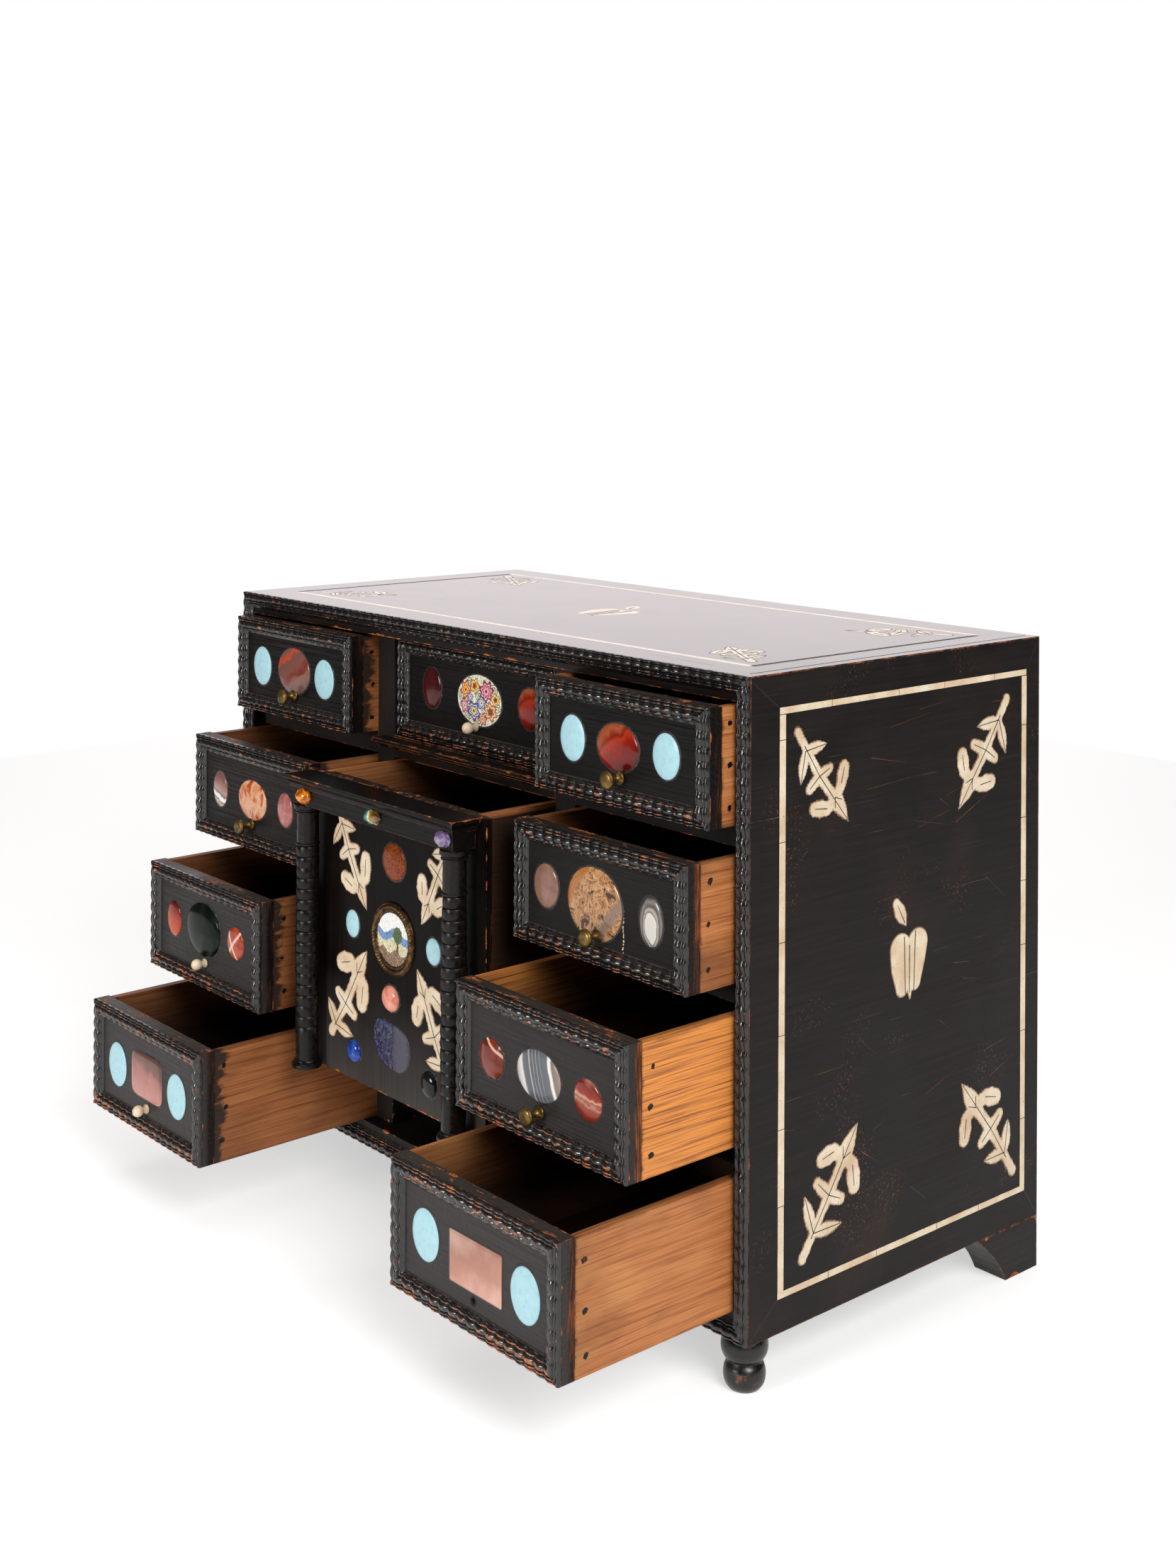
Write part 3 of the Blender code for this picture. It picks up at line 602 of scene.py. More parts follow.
# Samples across a row: place from its middle, rise, crest
THIN_ROW = ((-0.62, 0.72, 0.5), (0.0, 1.0, 1.0), (0.62, 0.72, 0.5), (1.0, 0.0, 0.0))
FAT_ROW = ((-0.88, 0.46, 0.1), (-0.52, 0.85, 0.55), (0.0, 1.0, 0.86), (0.52, 0.85, 0.55), (0.88, 0.46, 0.1),
           (1.0, 0.0, 0.0))


def ripple_section(band, depth, *rows):
    """Section of a moulding: (inward, out, sway, lift, crest) for each point, outer side first.

    Each row is (samples, middle, half width, floor, top, lift); a matte cove follows the last row.
    """
    points = [(0.0, 0.0, 0.0, 0.0, 0.0), (0.0, depth * 0.4, SWAY, 0.5, 0.1)]
    for samples, middle, half, floor, top, lift in rows:
        for place, rise, crest in samples:
            points.append((middle + half * place, floor + (top - floor) * rise, SWAY, lift, crest))
    return points + [(band - 1.5, depth * 0.26, 0.0, 0.2, -0.8), (band - 0.5, depth * 0.17, 0.0, 0.0, -1.0),
                     (band, 0.0, 0.0, 0.0, -1.0)]


DRAWER_SECTION = ripple_section(
    13.0, 4.5, (THIN_ROW, 1.0, 0.9, 2.4, 3.4, 1.1), (THIN_ROW, 2.9, 0.9, 2.7, 3.8, 1.2),
    (FAT_ROW, 6.3, 2.4, 2.7, 4.5, 1.45), (THIN_ROW, 9.7, 0.9, 1.9, 3.0, 1.1))
CASE_SECTION = ripple_section(
    12.5, 4.0, (THIN_ROW, 1.0, 0.9, 2.2, 3.1, 1.1), (FAT_ROW, 4.3, 2.3, 2.3, 4.0, 1.4),
    (THIN_ROW, 7.6, 0.9, 2.0, 3.2, 1.2), (THIN_ROW, 9.5, 0.9, 1.7, 2.7, 1.0))


def ripple_frame(name, node, section, material, body, seed):
    """A mitred frame of waved moulding in a node's place."""
    rng = random.Random(seed)
    face = front_of(node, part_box(node)[1].y)
    width, _, height = span(node)
    half = width / 2
    sides = (((-half, 0.0), (1, 0), (0, 1), width), ((half, 0.0), (0, 1), (-1, 0), height),
             ((half, height), (-1, 0), (0, -1), width), ((-half, height), (0, -1), (1, 0), height))
    columns, marks = [], []
    for (corner, along, inward, length), wear in zip(sides, SIDE_WEAR):
        count = round(length / RIPPLE * RIPPLE_STEPS)
        waves = int(length / RIPPLE) + 4
        pitch_drift = [rng.uniform(-0.07, 0.07) for _ in range(waves)]
        lift_drift = [rng.uniform(0.7, 1.1) for _ in range(waves)]
        for i in range(count):
            column = []
            for into, out, sway, lift, crest in section:
                s = into + i / count * (length - 2 * into)
                fade = max(0.0, min(1.0, (s - into) / MITRE_FADE, (length - into - s) / MITRE_FADE))
                wave = s / RIPPLE
                cell = int(wave)
                share = wave - cell
                drift, rise = (values[cell] * (1 - share) + values[cell + 1] * share
                               for values in (pitch_drift, lift_drift))
                bead = abs(math.cos(math.pi * (wave + drift))) ** 0.9
                w = into + sway * (1 - bead) * fade
                d = out - lift * rise * (1 - bead) * fade
                column.append(face.at(corner[0] + along[0] * s + inward[0] * w,
                                      corner[1] + along[1] * s + inward[1] * w, d))
                marks.append(crest * wear * (0.65 + 0.35 * bead) if crest > 0 else crest)
            columns.append(column)
    shape = Shape()
    loop_tube(shape, columns, marks)
    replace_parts(shape.piece(name, material, body, "ebonised_wood", sharp=60), node)


# Stones in their settings

SINK = -0.5         # a stone's edge below its face
DOME_STEPS = 10


def cabochon(shape, face, a, b, width, height, rise):
    """A domed stone whose edge is sunk in the face."""
    layers = [(1.0, SINK)]
    for step in range(DOME_STEPS + 1):
        angle = math.pi / 2 * step / (DOME_STEPS + 0.4)
        layers.append((math.cos(angle), 0.2 + rise * math.sin(angle)))
    stack(shape, [outline(face, a, b, width * share, height * share, d, 48) for share, d in layers])


def tablet(shape, face, a, b, width, height, power):
    """A flat stone with bevelled edges."""
    middle = min(width, height) / 2 - 2
    layers = ((0.0, SINK), (0.0, 0.3), (1.2, 0.858), (2.4, 1.2), (3.12, 1.22), (middle, 1.26))
    stack(shape, [outline(face, a, b, width - 2 * inset, height - 2 * inset, d, 64, power)
                  for inset, d in layers])


def faceted(shape, face, a, b, width, height, rise, sides, table):
    """A cut stone: a girdle, a ring of facets and a flat table."""
    layers = ((1.0, SINK, 0.0), (1.0, 0.4, 0.0), (0.84, rise * 0.55, 0.5), (table, rise, 0.0))
    stack(shape, [outline(face, a, b, width * share, height * share, d, sides, 2.0, turn)
                  for share, d, turn in layers])


def collar(shape, face, a, b, width, height, power, rng, reach=1.0):
    """An uneven bead of wax round a stone."""
    sides = 56
    columns = []
    for k in range(sides):
        x, z = oval(FULL_TURN * k / sides, power)
        wide = reach * rng.uniform(0.9, 2.0)
        columns.append([face.at(a + x * (width / 2 + out), b + z * (height / 2 + out), d)
                        for out, d in ((-0.5, -0.3), (wide, -0.3), (wide * 0.8, 0.1), (-0.1, 0.3))])
    loop_tube(shape, columns)


RISES = {"dome": 1.9, "high": 4.2}
SQUARENESS = {"tablet": 40.0, "soft": 6.0}
FACET_CUT = (2.6, 10, 0.55)         # rise, facets and the table's share


def set_stones(body, face, stones, settings, rng):
    """Lay stones in their wax on a face; each is (kind, a, b, width, height, form)."""
    for kind in dict.fromkeys(row[0] for row in stones):
        same = [row[1:] for row in stones if row[0] == kind]
        shape = Shape()
        for a, b, width, height, form in same:
            power = SQUARENESS.get(form, 2.0)
            if form in RISES:
                cabochon(shape, face, a, b, width, height, RISES[form])
            elif form == "facet":
                faceted(shape, face, a, b, width, height, *FACET_CUT)
            else:
                tablet(shape, face, a, b, width, height, power)
            collar(settings, face, a, b, width, height, power, rng)
        name = f"{body}_{kind}"
        look = stone(name, centre=face.at(*same[0][:2]), **STONES[kind])
        shape.piece(name, look, body, "hardstone", sharp=20 if same[0][4] in ("facet", "tablet") else 50)


# Cut-out inlays from distance fields

def blade(u, v, start, end, widths):
    """Distance to a straight blade whose half width follows a list of values."""
    along = np.array(end, float) - np.array(start, float)
    length = float(np.hypot(*along))
    t = np.clip(((u - start[0]) * along[0] + (v - start[1]) * along[1]) / length ** 2, 0, 1)
    wide = np.interp(t, np.linspace(0, 1, len(widths)), widths)
    return np.hypot(u - start[0] - t * along[0], v - start[1] - t * along[1]) - wide


def join(first, second, soft):
    """Union of two distance fields with a filleted corner."""
    share = np.clip(0.5 + 0.5 * (second - first) / soft, 0, 1)
    return second + (first - second) * share - soft * share * (1 - share)


def inlay(shape, face, field, low, high, step, proud):
    """Fill the inside of a distance field with a thin plate that has rounded edges."""
    us = np.arange(low[0], high[0] + step, step)
    vs = np.arange(low[1], high[1] + step, step)
    grid = field(*np.meshgrid(us, vs, indexing="ij"))
    points, marks, index, faces, rim = [], [], {}, [], []

    def point(key, u, v, depth):
        if key not in index:
            index[key] = len(points)
            points.append(face.at(u, v, proud * min(1.0, depth / 0.6) ** 0.5))
            marks.append(min(1.0, depth / 2.6))
        return index[key]

    nearest = np.minimum.reduce([grid[:-1, :-1], grid[1:, :-1], grid[1:, 1:], grid[:-1, 1:]])
    for i, j in zip(*np.nonzero(nearest < 0)):
        corners = [(i, j), (i + 1, j), (i + 1, j + 1), (i, j + 1)]
        loop, cut = [], {}
        for p, q in zip(corners, corners[1:] + corners[:1]):
            here, there = grid[p], grid[q]
            if here < 0:
                loop.append(point(p, us[p[0]], vs[p[1]], -here))
            if (here < 0) != (there < 0):
                t = here / (here - there)
                u = us[p[0]] + t * (us[q[0]] - us[p[0]])
                v = vs[p[1]] + t * (vs[q[1]] - vs[p[1]])
                crossing = point((min(p, q), max(p, q)), u, v, 0.0)
                loop.append(crossing)
                cut.setdefault(here < 0, []).append(crossing)
        if len(loop) >= 3:
            faces.append(tuple(loop))
            if sum(len(found) for found in cut.values()) == 2:
                rim.append((cut[True][0], cut[False][0]))
    top = len(points)
    below = [Vector(p) - face.out * (0.45 + proud) * MM for p in points]
    under = [tuple(i + top for i in reversed(loop)) for loop in faces]
    walls = [(b, a, a + top, b + top) for a, b in rim]
    shape.add(points + below, faces + under + walls, marks + marks)


# Stations of the leaf pair and the cross lobes, elbow, end and half widths of the back lobes, fullness
SIDE_LOBES = (0.20, 0.47, (0.72, 0.12), (0.62, 0.21), (0.060, 0.076, 0.064), 1.0)
BOARD_LOBES = (0.12, 0.38, (0.70, 0.13), (0.58, 0.21), (0.068, 0.086, 0.072), 1.18)

VEIN_SHARE = 0.96       # a leaf's engraved line stops short of its tip


def spray_parts(length, kind, rng):
    """Blades of a lobed spray along +u from the stem's end, with their engraved lines."""
    pair, cross, elbow, far, wide, fullness = kind
    bend = rng.uniform(-0.03, 0.03)
    parts = [((0.02, 0.0), (cross, bend), (0.046, 0.044, 0.046, 0.056)),
             ((cross, bend), (0.78, 0.0), (0.056, 0.052, 0.064)),
             ((0.72, 0.0), (0.995, 0.0), (0.060, 0.080, 0.066, 0.038, 0.004))]
    veins = [((pair * 0.8, bend * 0.4), (cross, bend)), ((cross, bend), (0.97, 0.0))]
    for sign in (-1, 1):
        for station, angle, reach, leaf in ((pair, 57, 0.25, (0.030, 0.052, 0.056, 0.042, 0.010)),
                                            (cross, 84, 0.145, (0.058, 0.058, 0.047))):
            lean = math.radians(angle + rng.uniform(-11, 11))
            run = reach * rng.uniform(0.88, 1.14)
            end = (station + run * math.cos(lean), bend + sign * run * math.sin(lean))
            parts.append(((station, bend), end, leaf))
            near_end = [s + VEIN_SHARE * (e - s) for s, e in zip((station, bend), end)]
            veins.append(((station, bend), near_end))
        shift = rng.uniform(-0.03, 0.03)
        knee = (elbow[0] + shift, sign * elbow[1])
        end = (far[0] + shift + rng.uniform(-0.03, 0.03), sign * far[1] * rng.uniform(0.92, 1.08))
        parts += [((0.75, 0.0), knee, (0.052, wide[0])), (knee, end, wide)]
        veins += [(knee, end), ((0.73, 0.0), (0.80, sign * 0.05))]

    def scaled(values, share=1.0):
        return tuple(value * length * share for value in values)

    return ([(scaled(start), scaled(end), scaled(halves, fullness)) for start, end, halves in parts],
            [(scaled(start), scaled(end)) for start, end in veins])


def add_spray(plates, lines, face, stem, tip, lobes, rng, proud=0.3, rim=0.0):
    """A bone spray on a face from its stem's end to its tip."""
    length = math.hypot(tip[0] - stem[0], tip[1] - stem[1])
    local = face.turned(*stem, math.atan2(tip[1] - stem[1], tip[0] - stem[0]))
    parts, veins = spray_parts(length, lobes, rng)

    def field(u, v):
        total = blade(u, v, *parts[0])
        for part in parts[1:]:
            total = join(total, blade(u, v, *part), 0.9)
        return total + 0.3 * np.sin(u * 0.9 + v * 1.3) * np.cos(v * 0.7) + 0.2 * np.sin(u * 2.3 - v * 1.9)

    inlay(plates, local, field, (-6, -36), (length + 4, 36), 0.6, proud)
    if rim:
        inlay(lines, local, lambda u, v: field(u, v) - rim, (-8, -38), (length + 6, 38), 0.8, proud / 2)
    for start, end in veins:
        bar(lines, local, start, end, 0.7, proud + 0.12, 0.5)


def add_fruit(plates, lines, face, middle, proud=0.3):
    """A halved fruit with a leaf above it."""
    local = face.turned(*middle, 0.0)

    def fruit(u, v):
        left = blade(u, v, (-8.6, 11.0), (-7.0, -15.0), (11.0, 10.4, 6.6))
        right = blade(u, v, (9.0, 12.5), (6.0, -13.0), (10.6, 9.2, 6.4))
        return join(join(left, right, 1.2), blade(u, v, (0.0, -10.0), (1.2, -23.5), (5.0, 1.0)), 1.0)

    def leaf(u, v):
        return blade(u, v, (-3.0, 26.0), (-13.0, 42.0), (0.6, 5.0, 6.0, 4.0))

    inlay(plates, local, fruit, (-24, -28), (24, 30), 0.75, proud)
    inlay(plates, local, leaf, (-24, 20), (8, 52), 0.75, proud)
    for u, v in ((-5.0, 19.0), (0.4, 12.5), (6.4, 21.0)):
        bar(lines, local, (u, v), (u * 0.75, -19.5), 0.9, proud + 0.12, 0.7)
    bar(lines, local, (-4.5, 28.0), (-12.0, 41.0), 0.8, proud + 0.12, 0.4)


def stringing(shape, face, start, end, width, rng, proud=0.3):
    """A line of bone strips laid end to end."""
    run = math.hypot(end[0] - start[0], end[1] - start[1])
    along = ((end[0] - start[0]) / run, (end[1] - start[1]) / run)
    place = 0.0
    while place < run - 0.5:
        length = min(rng.uniform(44, 70), run - place)
        if run - place - length < 12:
            length = run - place
        first, last = ((start[0] + along[0] * s, start[1] + along[1] * s)
                       for s in (place, place + length - 0.5))
        bar(shape, face, first, last, width * rng.uniform(0.94, 1.04), proud)
        place += length


# Finishes of the CAD boards

DRAWERS = [f"{side}_drawer_{row}" for side in ("left", "right") for row in range(1, 5)] + ["centre_drawer"]
ROW_DUST_AND_SHEEN = {"2": 0.1, "3": 0.46, "4": 0.66}     # grey on the lower rows' fronts: dust, and painted sheen from the pale floor
BARE_ENDS = [f"right_drawer_{row}" for row in (2, 3, 4)]
LAP, BARE_LAP = 0.0048, 0.0056                  # depth behind a front's face where end grain begins
SIDE_FINISH = dict(grain=GRAIN_Y, wear=0.5, gloss=0.36, shine=0.16, haze=0.75, relief=0.12, edges=0.6,
                   scratched=0.8)
FOOT_FINISH = dict(grain=GRAIN_Y, wear=1.8, gloss=0.4, edges=0.8)
BOARD_FINISHES = {
    "case_top": dict(wear=0.9, gloss=0.2, shine=0.4, edges=0.5, flat=True),
    "case_left_side": SIDE_FINISH,
    "case_right_side": SIDE_FINISH,
    "case_bottom": dict(gloss=0.5),
    "case_back": dict(wear=0.4, gloss=0.5, scratched=0.6),
    "left_divider": dict(grain=GRAIN_Z, wear=2.2, gloss=0.55, worn_below=0.14),
    "right_divider": dict(grain=GRAIN_Z, wear=0.4, gloss=0.55),
    "centre_shelf": dict(wear=1.8, edges=0.95),
    "tabernacle_shelf": dict(wear=0.5, gloss=0.55),
    "back_left_foot": FOOT_FINISH,
    "back_right_foot": FOOT_FINISH,
    # The tabernacle's front greys towards its bottom: dust and painted sheen from the pale floor
    "tabernacle_front": dict(grain=GRAIN_Z, wear=0.8, gloss=0.26, shine=0.05, haze=0.15, relief=0.12,
                             lap=LAP, film=0.95, dust_and_sheen_rise=0.075, deep=True),
    "tabernacle_cornice": dict(wear=0.8, gloss=0.26, shine=0.12, haze=0.2, edges=0.3, deep=True),
}
for side in ("left", "right"):
    for row in (1, 2, 3):
        BOARD_FINISHES[f"{side}_shelf_{row}"] = dict(wear=0.4, gloss=0.55)
for drawer in DRAWERS:
    bare = drawer in BARE_ENDS
    BOARD_FINISHES[drawer + "_front"] = dict(
        wear=0.6, gloss=0.34, shine=0.14, haze=0.3, relief=0.95, deep=True, bare_end=bare,
        film=ROW_DUST_AND_SHEEN.get(drawer[-1], 0.0), lap=BARE_LAP if bare else LAP)


def set_finish(node, material):
    for slot in NODES[node].material_slots:
        slot.material = material


for node, finish in BOARD_FINISHES.items():
    set_finish(node, ebonised(f"ebonised_{node}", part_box(node), **finish))
# Pine for every box; the tabernacle's box also gets painted shade on its outer sides
for drawer in DRAWERS + ["tabernacle"]:
    old = drawer.startswith("left")
    set_finish(drawer + "_box", pine(
        f"pine_{drawer}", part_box(drawer + "_box"), age=0.42 if old else 0.0, stain=0.006 if old else -0.004,
        shaded_sides=0.97 if drawer == "tabernacle" else 0.0, warm=0.7 if drawer == "right_drawer_3" else 0.0))

CASE_RIPPLE = rippled("case_ripple")
# Lower rows' ripples take part of the same grey: dust and painted sheen
ROW_RIPPLES = [rippled(f"ripple_row_{row}", 0.05 * row, ROW_DUST_AND_SHEEN.get(str(row), 0.0) * 0.45)
               for row in range(1, 5)]
WAX = dull_black("black_wax")
INLAY_BONE = bone("inlay_bone")
TOP_BONE = bone("top_bone", polish=0.16, stain=0.35)
BRASS = brass("aged_brass", "38 1f160b 58 55401f 82 806838")
DARK_BRASS = brass("bezel_brass", "38 120c07 58 3d2b18 82 6d5232")
GROUT = stone("mosaic_grout", "30 8d8578 70 b5ad9e", gloss=0.5)
KNOB_BONE = bone("knob_bone", (60.0, 300.0, 60.0))
FOOT_BLACK = turned_black("foot_black", 0.25)
COLUMN_BLACK = turned_black("column_black", 0.0, 0.22)
RUST = turned_black("rusty_nail", 0.6, 0.2)


# Case front moulding and drawers

ripple_frame("case_ripple", "front_moulding", CASE_SECTION, CASE_RIPPLE, "case", 1)

DRAWER_STONES = {
    "left_drawer_1": (
        ("turquoise", -48.4, 37.8, 26.7, 31.6, "dome"), ("red_agate", -0.4, 38.8, 46.9, 37.5, "dome"),
        ("turquoise", 44.0, 37.4, 27.5, 31.3, "dome")),
    "left_drawer_2": (
        ("pink_agate", -48.0, 39.9, 21.5, 29.3, "dome"),
        ("cream_jasper", 1.8, 38.8, 42.0, 31.6, "dome"), ("mauve", 50.3, 39.1, 21.6, 26.7, "dome")),
    "left_drawer_3": (
        ("sunset_carnelian", -49.1, 43.6, 21.9, 28.0, "dome"),
        ("bloodstone", -2.8, 44.0, 51.8, 41.9, "high"),
        ("crossed_agate", 45.6, 44.3, 24.1, 24.8, "dome")),
    "left_drawer_4": (
        ("turquoise", -47.7, 40.2, 28.5, 34.1, "dome"),
        ("mauve_jasper", -0.9, 42.3, 48.0, 34.0, "soft"),
        ("turquoise", 45.3, 40.9, 27.9, 33.6, "dome")),
    "right_drawer_1": (
        ("turquoise", -47.0, 38.4, 24.8, 31.0, "dome"),
        ("carnelian", -1.9, 38.5, 40.8, 31.7, "dome"), ("turquoise", 44.2, 39.8, 24.8, 29.7, "dome")),
    "right_drawer_2": (
        ("chalcedony", -52.1, 40.4, 25.0, 29.2, "dome"),
        ("picture_jasper", -3.4, 38.2, 53.2, 47.8, "dome"),
        ("grey_agate", 49.8, 38.4, 22.1, 31.4, "dome")),
    "right_drawer_3": (
        ("faceted_carnelian", -48.9, 39.9, 25.9, 26.5, "facet"),
        ("striped_agate", -0.9, 41.6, 43.3, 32.1, "dome"),
        ("banded_carnelian", 46.3, 39.8, 25.7, 25.8, "dome")),
    "right_drawer_4": (
        ("turquoise", -48.9, 42.8, 27.8, 33.0, "dome"),
        ("rose_quartz", 2.0, 39.9, 52.0, 32.0, "tablet"),
        ("turquoise", 50.5, 40.6, 27.8, 34.0, "dome")),
    "centre_drawer": (
        ("oxblood", -55.0, 41.1, 23.6, 31.0, "dome"), ("carnelian", 63.0, 40.6, 26.0, 30.0, "dome")),
}
ENAMEL_OVAL = (4.0, 39.0, 52.8, 38.0)       # place and size of the painted oval on the centre drawer

# Radius and distance from the panel along each knob
BRASS_KNOB = [
    (1.6, -11.0), (1.6, 0.3), (4.8, 0.3), (4.9, 0.9), (4.4, 1.6), (3.2, 2.4), (2.3, 3.7), (2.0, 5.2),
    (2.0, 7.2), (2.5, 8.6), (3.6, 9.5), (5.2, 9.9), (6.0, 10.3), (6.2, 11.0), (6.05, 11.9), (5.4, 12.7),
    (4.0, 13.2), (2.2, 13.45), (0.6, 13.5)]
BONE_BALL, BALL_MIDDLE = 4.3, 7.9
BONE_KNOB = [
    (1.6, -11.0), (1.6, 0.3), (3.4, 0.3), (3.5, 1.0), (3.3, 1.8), (2.6, 2.4), (2.1, 2.8), (2.0, 3.4)]
for degrees in range(30, 176, 12):
    x, z = oval(math.radians(degrees))
    BONE_KNOB.append((BONE_BALL * z, BALL_MIDDLE - BONE_BALL * x))
KNOB_SIDES = 36
BRASS_KNOB_WIDTH = 0.010                    # bone knobs are slimmer than this
RIPPLE_SEED, WAX_SEED, NAIL_SEED, BACK_SEED = 10, 100, 300, 400


def panel_of(drawer):
    """The panel inside a drawer's moulding, from the middle of the moulding's lower edge."""
    return front_of(drawer + "_frame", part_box(drawer + "_front")[0].y)


for number, drawer in enumerate(DRAWERS):
    rng = random.Random(WAX_SEED + number)
    row = int(drawer[-1]) if drawer[-1].isdigit() else 1
    ripple_frame(drawer + "_ripple", drawer + "_frame", DRAWER_SECTION, ROW_RIPPLES[row - 1], drawer,
                 RIPPLE_SEED + number)
    panel = panel_of(drawer)
    settings = Shape()
    set_stones(drawer, panel, DRAWER_STONES[drawer], settings, rng)
    if drawer == "centre_drawer":
        collar(settings, panel, *ENAMEL_OVAL, 2.0, rng)
    settings.piece(drawer + "_settings", WAX, drawer, "ebonised_wood", sharp=40)
    if drawer + "_knob" in NODES:
        low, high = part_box(drawer + "_knob")
        face = Face(((low.x + high.x) / 2, panel.origin.y, (low.z + high.z) / 2))
        profile, look, slot = BONE_KNOB, KNOB_BONE, "bone"
        if high.x - low.x > BRASS_KNOB_WIDTH:
            profile, look, slot = BRASS_KNOB, BRASS, "brass"
        shape = Shape()
        turned(shape, face, profile, KNOB_SIDES, [0.8] * len(profile))
        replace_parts(shape.piece(drawer + "_pull", look, drawer, slot, 50), drawer + "_knob")


# Nails through the drawer sides and round the back board

NAIL_SHARES = (0.16, 0.5, 0.84)
NAIL_HEAD = ((-1, -0.8), (0.1, -1), (1, -0.7), (0.9, 0.5), (0.2, 1), (-0.9, 0.8))
for number, drawer in enumerate(DRAWERS):
    rng = random.Random(NAIL_SEED + number)
    low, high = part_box(drawer + "_box")
    shape = Shape()
    for edge, inward in ((high.x, 1), (low.x, -1)):
        face = Face((edge, low.y, low.z), (0, inward, 0))
        for share in NAIL_SHARES:
            a = inward * rng.uniform(6.0, 9.5)
            b = (high.z - low.z) / MM * share + rng.uniform(-3, 3)
            nail = face.turned(a, b, rng.uniform(0, 1.5))
            reach = rng.uniform(1.7, 2.5)
            stack(shape, [[nail.at(x * reach * f, z * reach * f * 0.8, d) for x, z in NAIL_HEAD]
                          for f, d in ((1.0, -0.6), (1.0, 0.12), (0.7, 0.22))], [0.2] * 18)
    shape.piece(drawer + "_nails", RUST, drawer, "brass")

BACK_NAILS = (9, 6)
NAIL_INSET = 7.0
ROUND_NAIL = ((2.2, -0.4), (2.2, 0.15), (1.7, 0.45), (0.5, 0.55))
ROUND_NAIL_MARKS = (0.2, 0.2, 0.4, 0.5)
back_low, back_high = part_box("case_back")
back_face = Face((back_high.x, back_high.y, back_low.z), (-1, 0, 0))
back_width, _, back_height = span("case_back")
rng = random.Random(BACK_SEED)
shape = Shape()
for across, count in zip((True, False), BACK_NAILS):
    run, far = (back_width, back_height) if across else (back_height, back_width)
    for k in range(count):
        for rim in (NAIL_INSET, far - NAIL_INSET):
            place = run * (k + 0.5) / count + rng.uniform(-4, 4)
            spot = (place, rim) if across else (rim, place)
            head = back_face.turned(*spot, rng.uniform(0, 1.5))
            turned(shape, head, ROUND_NAIL, 9, ROUND_NAIL_MARKS)
shape.piece("back_nails", RUST, "case", "brass", sharp=40)


# The lost knob's hole has a worn rim, and a pale scratch runs down one panel

HOLE = (0.0, 19.0, 5.0, 5.0)
SCRATCH_TOP, SCRATCH_LENGTH, SCRATCH_STEP = (24.0, 40.0), 30.0, 1.1
rng = random.Random(77)
shape = Shape()
collar(shape, front_of("right_drawer_4_front"), *HOLE, 2.0, rng, 0.5)
shape.piece("right_drawer_4_hole_rim", RUST, "right_drawer_4", "ebonised_wood", sharp=40)
shape = Shape()
for step in range(int(SCRATCH_LENGTH / SCRATCH_STEP)):
    a = SCRATCH_TOP[0] + rng.uniform(-0.35, 0.35)
    b = SCRATCH_TOP[1] - step * SCRATCH_STEP
    if rng.random() < 0.8:
        end = (a + rng.uniform(-0.5, 0.5), b - rng.uniform(0.7, 1.6))
        bar(shape, front_of("right_drawer_2_front"), (a, b), end, rng.uniform(0.5, 1.4), 0.05)
shape.piece("right_drawer_2_scratch", KNOB_BONE, "right_drawer_2", "bone")


# Painted oval of generic design

# Middle, size, petals, turn, petal and heart colours
FLOWERS = (((-15.5, 6.5), 6.2, 6, 0.3, "cc6322", "eebc48"), ((-5.0, -8.0), 6.6, 5, 0.9, "2f4a9c", "e3cb5a"),
           ((9.5, 8.0), 7.0, 7, 0.2, "a8275c", "eda9b8"), ((-4.5, 10.5), 5.0, 5, 0.0, "d8a52c", "a83f22"),
           ((-17.0, -5.5), 4.8, 5, 0.5, "b5356a", "eecbd2"), ((14.5, -6.5), 6.2, 6, 0.7, "d27c26", "6d2516"),
           ((4.5, -1.0), 4.4, 5, 0.4, "4a6cb8", "f0dc98"), ((5.0, -13.0), 4.2, 6, 0.1, "bc3e30", "ecc090"),
           ((20.0, 3.0), 4.2, 5, 0.6, "d8a52c", "7d3018"), ((-9.5, 2.0), 3.2, 5, 0.2, "7d5aa8", "ead8ee"))
# Middle, reach and hand
SCROLLS = (((-11.5, 12.0), 5.0, 1), ((2.0, 5.0), 6.0, -1), ((-11.0, -3.0), 6.0, 1), ((9.0, -5.5), 6.0, 1),
           ((17.5, 9.0), 5.5, -1), ((0.0, -14.5), 5.0, 1), ((-20.5, 1.0), 5.0, -1), ((21.5, -4.5), 5.0, -1),
           ((-12.0, -11.0), 5.5, -1))
SCROLL_PITCH = 1.9
OVAL_RINGS, OVAL_SIDES = 80, 230
OVAL_RISE = 1.6


def petals_colour(share, outer, heart):
    """Colour of a flower from its rim, at 0, to its middle, at 1."""
    if share < 0.10:
        return "4a2a20"
    if 0.30 < share < 0.40:
        return "f0dcc6"
    if share > 0.82:
        return "6a3a1c"
    return heart if share > 0.58 else outer


def enamel_colour(u, v):
    """White ground strewn with flowers, curled stems and leaves."""
    code = "ebe5d4"
    if math.sin(u * 1.9 + 2.2 * math.sin(v * 0.9)) * math.cos(v * 1.7 - 1.1 * math.sin(u * 0.8)) > 0.5:
        code = "8f9430"
    for (x, y), reach, hand in SCROLLS:
        away = math.hypot(u - x, v - y)
        if away < reach and (hand * math.atan2(v - y, u - x) / FULL_TURN + away / SCROLL_PITCH) % 1.0 < 0.36:
            code = "35441f"
    for (x, y), size, petals, turn, outer, heart in FLOWERS:
        reach = size * (1.05 + 0.2 * math.cos(petals * (math.atan2(v - y, u - x) - turn)))
        share = 1 - math.hypot(u - x, v - y) / reach
        if share > 0:
            code = petals_colour(share, outer, heart)
    return rgb(code)


